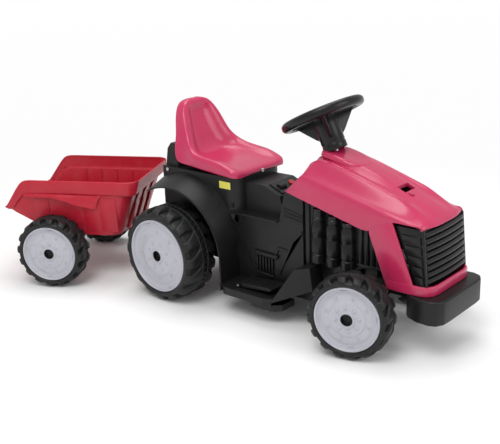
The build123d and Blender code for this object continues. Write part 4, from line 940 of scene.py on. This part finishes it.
def cut_slot(piece):
    """Cuts the slot in the hood's top, with walls that go down into it."""
    edit(piece, "FACE")
    bpy.ops.mesh.select_all(action="SELECT")
    for x in (SLOT_X - SLOT_HALF[0], SLOT_X + SLOT_HALF[0]):
        bpy.ops.mesh.bisect(plane_co=(x, 0, 0), plane_no=(1, 0, 0))
        bpy.ops.mesh.select_all(action="SELECT")
    for y in (-SLOT_HALF[1], SLOT_HALF[1]):
        bpy.ops.mesh.bisect(plane_co=(0, y, 0), plane_no=(0, 1, 0))
        bpy.ops.mesh.select_all(action="SELECT")
    pick(lambda face: abs(face.calc_center_median().x - SLOT_X) < SLOT_HALF[0]
         and abs(face.calc_center_median().y) < SLOT_HALF[1])
    bpy.ops.mesh.extrude_region_move(TRANSFORM_OT_translate={"value": (0, 0, -SLOT_DEEP)})
    bpy.ops.mesh.delete(type="FACE")
    bpy.ops.object.mode_set(mode="OBJECT")
    return piece


def hood_pillar():
    """The strip that runs down each side behind the grille, and the rim that wraps round the front."""
    outline = [(TOE_X - 160, 286), (TOE_X - 156.6, 261), (TOE_X - 109.6, RIM_Z + 2),
               (TOE_X - 44, RIM_Z + 5), (TOE_X - 44.5, 166.5), (TOE_X - 99, 300), (TOE_X - 116, 312),
               (TOE_X - 150, 306)]
    pillar = plank(outline, -HOOD_Y + 0.5, -HOOD_Y + 4.5)
    soften(pillar, 1.0, segments=2)
    pillar = both_sides(pillar)
    y, x = HOOD_Y, TOE_X
    outer = [(x - 110, y), (x - 52, y), (x - 26, y - 2), (x - 12, y - 8), (x - 3, y - 20), (x, y - 38)]
    inner = [(x - 7, y - 40), (x - 10, y - 24), (x - 17, y - 14), (x - 28, y - 9), (x - 52, y - 7),
             (x - 106, y - 7)]
    half = [(px, -py) for px, py in outer] + [(px, py) for px, py in reversed(outer)]
    half += [(px, py) for px, py in reversed(inner)] + [(px, -py) for px, py in inner]
    rim = plank(half, RIM_Z, 166, "Z")
    soften(rim, 2.6, segments=3, angle=40)
    return joined(pillar, rim)


def cowl_piece():
    """The raised tongue in front of the steering neck, with the rounded block behind it."""
    rows = []
    for inset, drop in ((-5.0, 16.0), (-1.5, 9.0), (0.0, 4.5), (2.0, 1.6), (6.0, 0.2), (12.0, 0.0)):
        row = []
        for k in range(32):
            turn = k * math.tau / 32
            c, s = math.cos(turn), math.sin(turn)
            wide = 43 - inset
            reach = (74 if c > 0 else 50) - inset
            x = TOE_X - 288 + reach * math.copysign(abs(c) ** 0.75, c)
            y = wide * math.copysign(abs(s) ** 0.75, s)
            row.append((x, y, along(COWL_LINE, x) - drop))
        rows.append(row + [row[0]])
    piece = skin(rows)
    close_ends(piece)
    return smooth_out(piece, 2)


class TRACTOR_OT_hood(bpy.types.Operator):
    """Models the magenta hood with its ridges, cowl, slot, pillars and front rim"""
    bl_idname = "tractor.hood"
    bl_label = "Hood"

    def execute(self, context):
        boss = spun([(0.02, 0), (7.0, 0), (6.6, 2.4), (4.2, 3.2), (0.02, 3.3)], 32)
        boss.data.transform(Matrix.Translation((TOE_X - 100, -13, 343)) @ Matrix.Rotation(0.4, 4, "Y"))
        piece = joined(hood_top(), hood_pillar(), cowl_piece(), boss)
        settle(piece, "hood_shell", TRACTOR, "tractor", "magenta gloss", ["hood"], angle=45)
        return {"FINISHED"}


class TRACTOR_OT_grille(bpy.types.Operator):
    """Models the radiator grille: a black box with bowed louvres and a stepped ladder on each side"""
    bl_idname = "tractor.grille"
    bl_label = "Grille"

    def execute(self, context):
        half, low, high = 88.0, 165.5, 292.0
        def front(z):
            return TOE_X - 12.0 - (z - low) * 0.095
        core = plank([(TOE_X - 97, high), (TOE_X - 43, low), (front(low) - 5, low), (front(high) - 5, high)],
                     -half, half)
        soften(core, 2.0)
        parts = [core]
        count = context.scene.tractor_sizes.louvres
        pitch = (high - low - 8) / count
        for k in range(count):
            middle = low + 4 + (k + 0.5) * pitch
            rows = []
            for step in range(13):
                y = -half + 5 + (2 * half - 10) * step / 12
                bow = 6.0 * (1 - (y / half) ** 2)
                rows.append([(front(middle) - 9 + bow, y, middle - 0.46 * pitch),
                             (front(middle) - 1 + bow, y, middle - 0.38 * pitch),
                             (front(middle) + 0.6 + bow, y, middle - 0.16 * pitch),
                             (front(middle) - 2.2 + bow, y, middle + 0.30 * pitch),
                             (front(middle) - 9 + bow, y, middle + 0.40 * pitch),
                             (front(middle) - 9 + bow, y, middle - 0.46 * pitch)])
            bar = skin(rows)
            close_ends(bar)
            parts.append(soften(bar, 1.0, segments=2))
        bead = plank([(front(low) - 8, low), (front(low) - 1, low), (front(high) - 1, high),
                      (front(high) - 8, high)], -half - 1.5, -half + 5)
        parts.append(soften(both_sides(bead), 2.0, segments=3))
        rungs = 5
        for k in range(rungs):
            top = high - 16 - k * 22.5
            back = TOE_X - 78 + (high - top - 16) * 0.40
            step = plank([(back, top), (back + 4, top - 17), (front(top - 17) - 9, top - 19),
                          (front(top) - 9, top - 1)], -half - 4.4, -half + 1)
            parts.append(soften(both_sides(step), 1.4, segments=2))
        settle(joined(*parts), "grille_louvres", TRACTOR, "tractor", "semi-gloss black",
               ["grille"], angle=40)
        return {"FINISHED"}


class TRACTOR_OT_bumper(bpy.types.Operator):
    """Models the front bumper with its chamfered corners and the ridges under its tail"""
    bl_idname = "tractor.bumper"
    bl_label = "Bumper"

    def execute(self, context):
        low, high = node_corner("bumper", high=False), node_corner("bumper")
        y, front, back = high.y, high.x, low.x
        half = [(back, y - 24), (back + 12, y - 12), (back + 38, y - 1), (front - 28, y), (front - 11, y - 7),
                (front - 1.5, y - 24), (front, y - 48)]
        outline = [(px, -py) for px, py in half] + [(px, py) for px, py in reversed(half)]
        body = plank(outline, low.z, high.z, "Z")
        edit(body, "FACE")
        pick(lambda face: face.normal.z > 0.9)
        bpy.ops.mesh.inset(thickness=5.0, depth=0.0)
        bpy.ops.transform.translate(value=(0, 0, 0.4))
        bpy.ops.object.mode_set(mode="OBJECT")
        soften(body, 4.5, segments=4, angle=25)
        parts = [body]
        for k in range(5):
            ridge = box((back + 8 + 9 * k, -y + 16 - k, low.z - 0.2), (back + 12 + 9 * k, -y + 40, low.z + 9))
            parts.append(soften(both_sides(ridge), 1.0))
        settle(joined(*parts), "bumper_moulding", TRACTOR, "tractor", "satin black",
               ["bumper"], angle=40)
        return {"FINISHED"}


# ---------------------------------------------------------------- seat
SEAT_HALF_WIDTH = ((300, 102.5), (374, 102.5), (404, 86), (450, 72), (472, 61), (489, 44), (495, 24),
                   (496, 10))
# stations from the front edge to the top of the back: the hollow's floor, the rim, the lower edge
# and the underside, each as (x, z)
SEAT_STATIONS = (
    ((181.8, 333), (181.8, 333), (181.8, 326.6), (181.5, 328), 78),
    ((179.5, 339), (179.5, 340), (180, 326.4), (179, 330), 89),
    ((173, 342), (173, 344), (174, 326.6), (173, 334), 97.5),
    ((164, 344), (164, 347.5), (165, 327), (164, 336), 101.5),
    ((150, 346), (150, 353), (150, 328.5), (150, 339), 102.3),
    ((125, 349), (125, 361.5), (125, 330.5), (125, 342), 102.5),
    ((100, 351), (100, 364.5), (100, 332.5), (100, 344), 102.5),
    ((75, 352), (75, 367.5), (75, 334.5), (75, 345), 102.5),
    ((50, 353.5), (50, 371), (50, 337), (50, 346), 102.5),
    ((31, 356), (31, 376.5), (30, 339), (30, 349), 102.5),
    ((15, 361), (18, 386), (8, 340.5), (10, 352), 0),
    ((3, 370), (7, 399), (-14, 342), (-8, 356), 0),
    ((-6, 383), (0, 412), (-27, 350), (-24, 362), 0),
    ((-13, 399), (-6, 424), (-32, 381), (-31, 383), 0),
    ((-21, 419), (-12, 438), (-38, 409), (-37, 410), 0),
    ((-30, 441), (-19, 454), (-46, 435), (-45, 436), 0),
    ((-37, 460), (-26, 467), (-52, 458), (-51, 458), 0),
    ((-39, 473), (-30.5, 478), (-57, 474), (-56, 474), 0),
    ((-35, 483), (-34, 485), (-59.5, 484), (-58, 484), 0),
    ((-38, 490), (-38, 490.5), (-60, 490), (-58, 490), 0),
    ((-43, 494.5), (-43, 494.6), (-58, 494.5), (-56, 494), 0),
    ((-49, 496), (-49, 496), (-53, 496), (-52, 495), 0),
)


def seat_row(station):
    """One section across the seat, as a closed row of corners."""
    floor, rim, foot, under, given = station
    wide, low_wide = given or along(SEAT_HALF_WIDTH, rim[1]), given or along(SEAT_HALF_WIDTH, foot[1])

    def blend(a, b, share):
        return a[0] + (b[0] - a[0]) * share, a[1] + (b[1] - a[1]) * share
    slim = min(1.0, wide / 75)
    half = [(0.0, floor), (0.30 * wide, floor), (wide - 52 * slim, blend(rim, floor, 0.97)),
            (wide - 40 * slim, blend(rim, floor, 0.80)), (wide - 30 * slim, blend(rim, floor, 0.38)),
            (wide - 22 * slim, blend(rim, floor, 0.06)), (wide - 14 * slim, rim), (wide - 7 * slim, rim),
            (wide - 2 * slim, blend(rim, foot, 0.12)), (wide, blend(rim, foot, 0.32)),
            (low_wide, blend(rim, foot, 0.96)), (low_wide - 3.5, foot),
            (low_wide - 10 * slim, under), (0.5 * low_wide, under), (0.0, under)]
    right = [(x, -y, z) for y, (x, z) in half]
    left = [(x, y, z) for y, (x, z) in reversed(half[1:-1])]
    return right + left + [right[0]]


class TRACTOR_OT_seat(bpy.types.Operator):
    """Models the magenta bucket seat as one crowned moulding"""
    bl_idname = "tractor.seat"
    bl_label = "Seat"

    def execute(self, context):
        piece = skin([seat_row(station) for station in SEAT_STATIONS])
        close_ends(piece)
        smooth_out(piece, 2)
        settle(piece, "seat_shell", TRACTOR, "seat", "magenta gloss", ["seat"], angle=60)
        return {"FINISHED"}


# ---------------------------------------------------------------- engine sides and body details
ENGINE_Y = 80.0                     # outer face of the engine's side sheet
ENGINE_BACK = node_corner("engine_cover_right", high=False).x
ENGINE_FOOT = 162.0
BODY_SIDE = 84.0                    # outer face of the body's side panel
CYLINDERS = (42.0, 84.0, 125.0)     # middles, ahead of the engine's rear edge


def cylinder_piece(x):
    """One cylinder: a flanged foot, a straight barrel, a sloped shoulder, a collar and the neck."""
    top = along(LOWER_EDGE, x + 12) - ENGINE_FOOT
    profile = [(0.02, 0), (15.5, 0), (17, 1.5), (17, 21), (15.4, 22.5), (15.4, 27), (16.8, 28.5), (16.8, 62),
               (16.1, 63), (16.1, 66), (16.8, 67), (16.8, 88), (15.8, 93), (13.2, 99), (12.6, 102),
               (14.2, 104), (14.2, 111), (12.6, 113), (12.4, top - 1.5), (0.02, top - 1.5)]
    piece = spun(profile, 40)
    for height in (46, 76):
        stud = spun([(0.02, 0), (2.2, 0), (1.8, 1.2), (0.02, 1.6)], 14)
        stud.data.transform(Matrix.Translation((0, -16.6, height)) @ Matrix.Rotation(math.pi / 2, 4, "X"))
        piece = joined(piece, stud)
    piece.data.transform(Matrix.Translation((x, -ENGINE_Y - 7.5, ENGINE_FOOT)))
    return piece


def engine_side():
    x = ENGINE_BACK
    sheet = plank([(x, ENGINE_FOOT - 30), (x, 330), (x + 91, 318), (x + 180, 292), (x + 227, 258),
                   (x + 248, ENGINE_FOOT + 14), (x + 181, ENGINE_FOOT + 14), (x + 141, ENGINE_FOOT),
                   (x + 121, ENGINE_FOOT - 30)], -ENGINE_Y, -ENGINE_Y + 3)
    parts = [soften(sheet, 0.8)]
    for step in CYLINDERS:
        parts.append(cylinder_piece(x + step))
    for k in range(5):
        left = x + 152 + 15.5 * k
        top = 306 - 0.42 * 15.5 * k
        rib = plank([(left, ENGINE_FOOT + 17), (left, top), (left + 9, top - 4), (left + 9, ENGINE_FOOT + 17)],
                    -ENGINE_Y - 6, -ENGINE_Y + 0.5)
        parts.append(soften(rib, 2.2, segments=3))
    beam = box((x + 146, -ENGINE_Y - 7, ENGINE_FOOT + 14.5), (x + 232, -ENGINE_Y + 0.5, ENGINE_FOOT + 20))
    parts.append(soften(beam, 1.5))
    back = plank([(x + 1, ENGINE_FOOT - 28), (x + 1, 322), (x + 13, 320), (x + 13, ENGINE_FOOT - 28)],
                 -ENGINE_Y - 3, -ENGINE_Y + 0.5)
    parts.append(soften(back, 1.2))
    return joined(*parts)


class TRACTOR_OT_engine(bpy.types.Operator):
    """Models the engine sides: three stepped cylinders and a ribbed cooler panel on each"""
    bl_idname = "tractor.engine"
    bl_label = "Engine sides"

    def execute(self, context):
        right = engine_side()
        left = twin(right, Matrix.Scale(-1, 4, Vector((0, 1, 0))))
        settle(right, "engine_side_right", TRACTOR, "tractor", "semi-gloss black",
               ["engine_cover_right"], angle=35)
        settle(left, "engine_side_left", TRACTOR, "tractor", "semi-gloss black",
               ["engine_cover_left"], angle=35)
        return {"FINISHED"}


def rib_along(points, width, proud):
    """A raised rib that follows a line of (x, z) points on the right side panel."""
    outline = []
    for (x0, z0), (x1, z1) in zip(points, points[1:]):
        across = Vector((z0 - z1, x1 - x0)).normalized() * width / 2
        outline.append(((x0, z0), (x1, z1), across))
    upper = [(p[0] + n.x, p[1] + n.y) for a, b, n in outline for p in (a, b)]
    lower = [(p[0] - n.x, p[1] - n.y) for a, b, n in reversed(outline) for p in (b, a)]
    rib = plank(upper + lower, -BODY_SIDE - proud, -BODY_SIDE + 0.5)
    return soften(rib, 0.9)


def side_panel_details():
    """Raised V ribs, the hooded vent with its slots, a clip and three grooves' lands."""
    parts = [rib_along([(152, 229), (163, 205), (206, 130), (227, 103)], 6, 3.0),
             rib_along([(300, 103), (313, 131), (344, 196), (371, 224)], 6, 3.0),
             rib_along([(163, 233), (158, 212), (176, 212), (180, 233)], 4, 2.4),
             rib_along([(287, 146), (300, 170), (330, 168)], 5, 3.4)]
    hood = plank([(223, 152), (300, 150), (296, 140), (226, 142)], -BODY_SIDE - 8, -BODY_SIDE + 0.5)
    parts.append(soften(hood, 2.2, segments=3))
    for k in range(6):
        left = 229.5 + 9.6 * k
        slat = box((left, -BODY_SIDE - 5, 97 - k * 0.4), (left + 4.6, -BODY_SIDE + 0.5, 143))
        parts.append(soften(slat, 1.4))
    sill = plank([(222, 99), (285, 94), (283, 89), (224, 93)], -BODY_SIDE - 5, -BODY_SIDE + 0.5)
    parts.append(soften(sill, 1.2))
    for k in range(3):
        land = plank([(316, 276 - 9 * k), (373, 266 - 8 * k), (373, 262 - 8 * k), (316, 272 - 9 * k)],
                     -BODY_SIDE - 2.2, -BODY_SIDE + 0.5)
        parts.append(soften(land, 0.9))
    return joined(*parts)


class TRACTOR_OT_body_details(bpy.types.Operator):
    """Models the raised mouldings on the body's side panels"""
    bl_idname = "tractor.body_details"
    bl_label = "Body details"

    def execute(self, context):
        settle(both_sides(side_panel_details()), "body_mouldings", TRACTOR, "tractor",
               "satin black")
        return {"FINISHED"}


# ---------------------------------------------------------------- steering wheel
RING_R, RING_TUBE = 91.0, 11.5
SPOKE_DEG = -54.0


def steering_ring():
    """The rim: an oval tube with a parting seam inside and out."""
    profile = []
    for k in range(24):
        turn = k * math.tau / 24
        swell = 1.0 - (0.05 if k % 12 == 0 else 0.0)
        profile.append((RING_R + (RING_TUBE - 0.2) * swell * math.cos(turn), RING_TUBE * math.sin(turn)))
    return spun(profile, 96)


def steering_spoke():
    arm = plank([(25, -14), (48, -10), (68, -12), (82, -21), (88, -23), (88, 23), (82, 21), (68, 12),
                 (48, 10), (25, 14)], -8, 2, "Z")
    soften(arm, 2.6, segments=3)
    web = plank([(25, -62), (40, -50), (76, -13), (84, -8), (84, -2), (25, -2)], -4.5, 4.5)
    soften(web, 1.8, segments=3)
    lip = plank([(26, 2), (60, 2), (60, 3.6), (26, 3.6)], -5, 5)
    soften(lip, 0.8)
    return joined(arm, web, lip)


def steering_neck():
    neck = spun([(26.0, -86), (28, -88), (29, -86.5), (29, -74), (28, -72), (28, -70), (29, -68), (28.6, -30),
                 (28.2, -5), (27.4, -3.2), (26.2, -3.2), (26.0, -5)], 64)
    notch = box((-9, -30.2, -88), (9, -26.5, -78))
    soften(notch, 0.8)
    floor = spun([(0.02, -86), (26.4, -86), (26.4, -82), (0.02, -82)], 48)
    return joined(neck, notch, floor)


class TRACTOR_OT_steering(bpy.types.Operator):
    """Models the steering wheel: a seamed rim, three webbed spokes and the neck"""
    bl_idname = "tractor.steering"
    bl_label = "Steering wheel"

    def execute(self, context):
        spokes = round_copies(steering_spoke(), 3, SPOKE_DEG)
        piece = joined(steering_ring(), steering_neck(), spokes)
        settle(piece, "steering_wheel_moulding", steering_place(), "steering",
               "semi-gloss black", ["steering_wheel"], angle=40)
        return {"FINISHED"}


# ---------------------------------------------------------------- trailer tub
# millimetres ahead of the towing pin (so negative), to the left, and above the floor
TUB_TOP, TUB_FLOOR = 284.0, 127.0
TUB_FRONT = -57.0                   # outer face of the rim, ahead of every other part of the tub
TUB_WALL, RIM_OUT = 4.0, 6.0
TUB_RIM_HALF = 148.0                # half the width over the rim
WALL_LEAN = 0.079                   # how fast the side walls draw in downwards
CORNER = 34.0                       # radius of the front corners from above
TUB_STATIONS = (-448, -443, -432, -416, -400, -386, -370, -340, -318, -308, -296, -260, -210, -165,
                -140, -127, -120, -114, -106, -97, -88, -81, -78.6, -77.4, -71, -64.4, -63, -61.2,
                -59.5, -58, -57)
TOP_EDGE = ((-448, 204), (-443, 208), (-432, 224), (-416, 246), (-400, 269), (-390, 280), (-378, 284))
BASE_LINE = ((-448, 203), (-310, 127), (-120, 127), (-78, 245), (-64, 246.5), (-60.5, 262), (-57, 282))
RIM_STEPS = ((0.0, -4.0), (0.8, -1.2), (3.5, 0.0), (12, 0.2), (32, 0.0), (36.5, -0.6), (38.2, -2.4),
             (38.8, -5.4), (41, -6.0))  # below the top edge, and outwards
WALL_SHARES = (0.2, 0.45, 0.7, 0.88, 0.97, 1.0)
FLOOR_SHARES = (0.94, 0.8, 0.4, 0.0)


def tub_half(x, z, out):
    """Half the tub's width at a place, rounded off towards the front wall."""
    half = TUB_RIM_HALF - (TUB_TOP - z) * WALL_LEAN + out
    front = TUB_FRONT if out > -RIM_OUT + 0.5 else along(((127, -120), (245, -78), (284, -64)), z)
    ahead = front - x
    if ahead >= CORNER:
        return half
    share = 1 - max(0.0, ahead) / CORNER
    return half - CORNER * (1 - math.sqrt(max(0.0, 1 - share * share)))


def tub_row(x):
    top, base = along(TOP_EDGE, x), along(BASE_LINE, x)
    half = []
    for drop, out in RIM_STEPS:
        z = max(top - drop, base)
        half.append((x, tub_half(x, z, out), z))
    low = half[-1][2]
    for share in WALL_SHARES:
        z = low + (base - low) * share
        half.append((x, tub_half(x, z, RIM_STEPS[-1][1]), z))
    foot = half[-1][1]
    half += [(x, foot * share, base) for share in FLOOR_SHARES]
    return half + [(px, -py, pz) for px, py, pz in reversed(half[:-1])]


def tub_shell():
    piece = skin([tub_row(x) for x in TUB_STATIONS])
    smooth_out(piece, 1)
    under = Vector((-220, 0, TUB_FLOOR))
    low = min(piece.data.polygons, key=lambda face: (Vector(face.center) - under).length)
    if low.normal.z > 0:
        edit(piece)
        bpy.ops.mesh.select_all(action="SELECT")
        bpy.ops.mesh.flip_normals()
        bpy.ops.object.mode_set(mode="OBJECT")
    thicken(piece, TUB_WALL)
    return piece


def on_wall(x, z, out):
    """A place on the right wall, this far outside its outer face."""
    return (x, -(TUB_RIM_HALF - (TUB_TOP - z) * WALL_LEAN - RIM_OUT + out), z)


def wall_panel(x0, x1, z0, z1, inner, outer):
    """A raised panel on the right wall between two depths, leaning with the wall."""
    piece = box((x0, -1, z0), (x1, 1, z1))
    for corner in piece.data.vertices:
        x, y, z = corner.co
        corner.co = on_wall(x, z, outer if y < 0 else inner)
    return soften(piece, 1.0, segments=3)


def wheel_flare():
    """The lip that springs from under the rim band and sweeps forward to a point over the wheel."""
    edge = ((-396, 244), (-380, 236), (-340, 237), (-300, 236), (-265, 228), (-235, 217), (-205, 211),
            (-181, 206), (-176, 214), (-170, 232), (-160, 245))
    reach = ((-396, 3), (-380, 9), (-330, 12), (-250, 14), (-205, 12), (-181, 9), (-176, 8), (-160, 4))
    rows = []
    for x in (-396, -390, -380, -362, -340, -320, -300, -282, -265, -250, -235, -220, -205, -192, -184,
              -181, -178.5, -176, -173, -170, -165, -160):
        z, out = along(edge, x), along(reach, x)
        middle = (z + 247) / 2
        rows.append([on_wall(x, 247, 1.5), on_wall(x, middle + 5, 2.5 + 0.45 * out),
                     on_wall(x, z + 3, out - 1.5), on_wall(x, z, out), on_wall(x, z - 0.8, out - 1.6),
                     on_wall(x, z + 2.5, out - 4.0), on_wall(x, middle + 2, -0.5), on_wall(x, 246, -1.5)])
    piece = skin([row + [row[0]] for row in rows])
    close_ends(piece)
    return smooth_out(piece, 1)


def front_buttress(y):
    outline = [(-118, 131), (-111.5, 131), (-88, 200), (-86, 214), (-73.5, 241), (-79, 241)]
    piece = plank(outline, y - 15, y + 15)
    return soften(piece, 2.0, segments=3)


class TRACTOR_OT_trailer(bpy.types.Operator):
    """Models the red trailer tub with its rim band, panels and wheel flares"""
    bl_idname = "tractor.trailer"
    bl_label = "Trailer tub"

    def execute(self, context):
        parts = [tub_shell(), both_sides(wheel_flare())]
        for k in range(5):
            x = -362 + 49 * k
            inside = wall_panel(x, x + 43.5, 146 if x > -300 else 172, 247, -TUB_WALL + 0.4, -TUB_WALL - 1.6)
            outside = wall_panel(x, x + 44.5, 140 if x > -300 else 166, 236, -0.4, 1.2)
            parts.append(both_sides(joined(inside, outside)))
        parts += [front_buttress(y) for y in (-62, 0, 62)]
        settle(joined(*parts), "trailer_tub_moulding", trailer_place(), "trailer", "red gloss",
               ["trailer_tub"], angle=40)
        return {"FINISHED"}


PIECES = (TRACTOR_OT_tyres, TRACTOR_OT_discs, TRACTOR_OT_hood, TRACTOR_OT_grille, TRACTOR_OT_bumper,
          TRACTOR_OT_seat, TRACTOR_OT_engine, TRACTOR_OT_body_details, TRACTOR_OT_steering,
          TRACTOR_OT_trailer)


# ---------------------------------------------------------------- sidebar and registration
OPERATORS = (TRACTOR_OT_finishes, TRACTOR_OT_stage, *PIECES)


class TRACTOR_PT_sidebar(bpy.types.Panel):
    """Sizes, colours and the pieces in the order they are built"""
    bl_idname = "TRACTOR_PT_sidebar"
    bl_label = "Toy tractor"
    bl_space_type = "VIEW_3D"
    bl_region_type = "UI"
    bl_category = "Tractor"

    def draw(self, context):
        for settings in (context.scene.tractor_sizes, context.scene.tractor_colours):
            for name in settings.__annotations__:
                self.layout.prop(settings, name)
        for operator in OPERATORS:
            self.layout.operator(operator.bl_idname)


CLASSES = (TractorSizes, TractorColours, *OPERATORS, TRACTOR_PT_sidebar)


def register():
    for cls in CLASSES:
        bpy.utils.register_class(cls)
    bpy.types.Scene.tractor_sizes = bpy.props.PointerProperty(type=TractorSizes)
    bpy.types.Scene.tractor_colours = bpy.props.PointerProperty(type=TractorColours)


def unregister():
    del bpy.types.Scene.tractor_colours
    del bpy.types.Scene.tractor_sizes
    for cls in reversed(CLASSES):
        bpy.utils.unregister_class(cls)


def main():
    register()
    for operator in OPERATORS:
        family, name = operator.bl_idname.split(".")
        getattr(getattr(bpy.ops, family), name)()


if __name__ == "__main__":
    main()
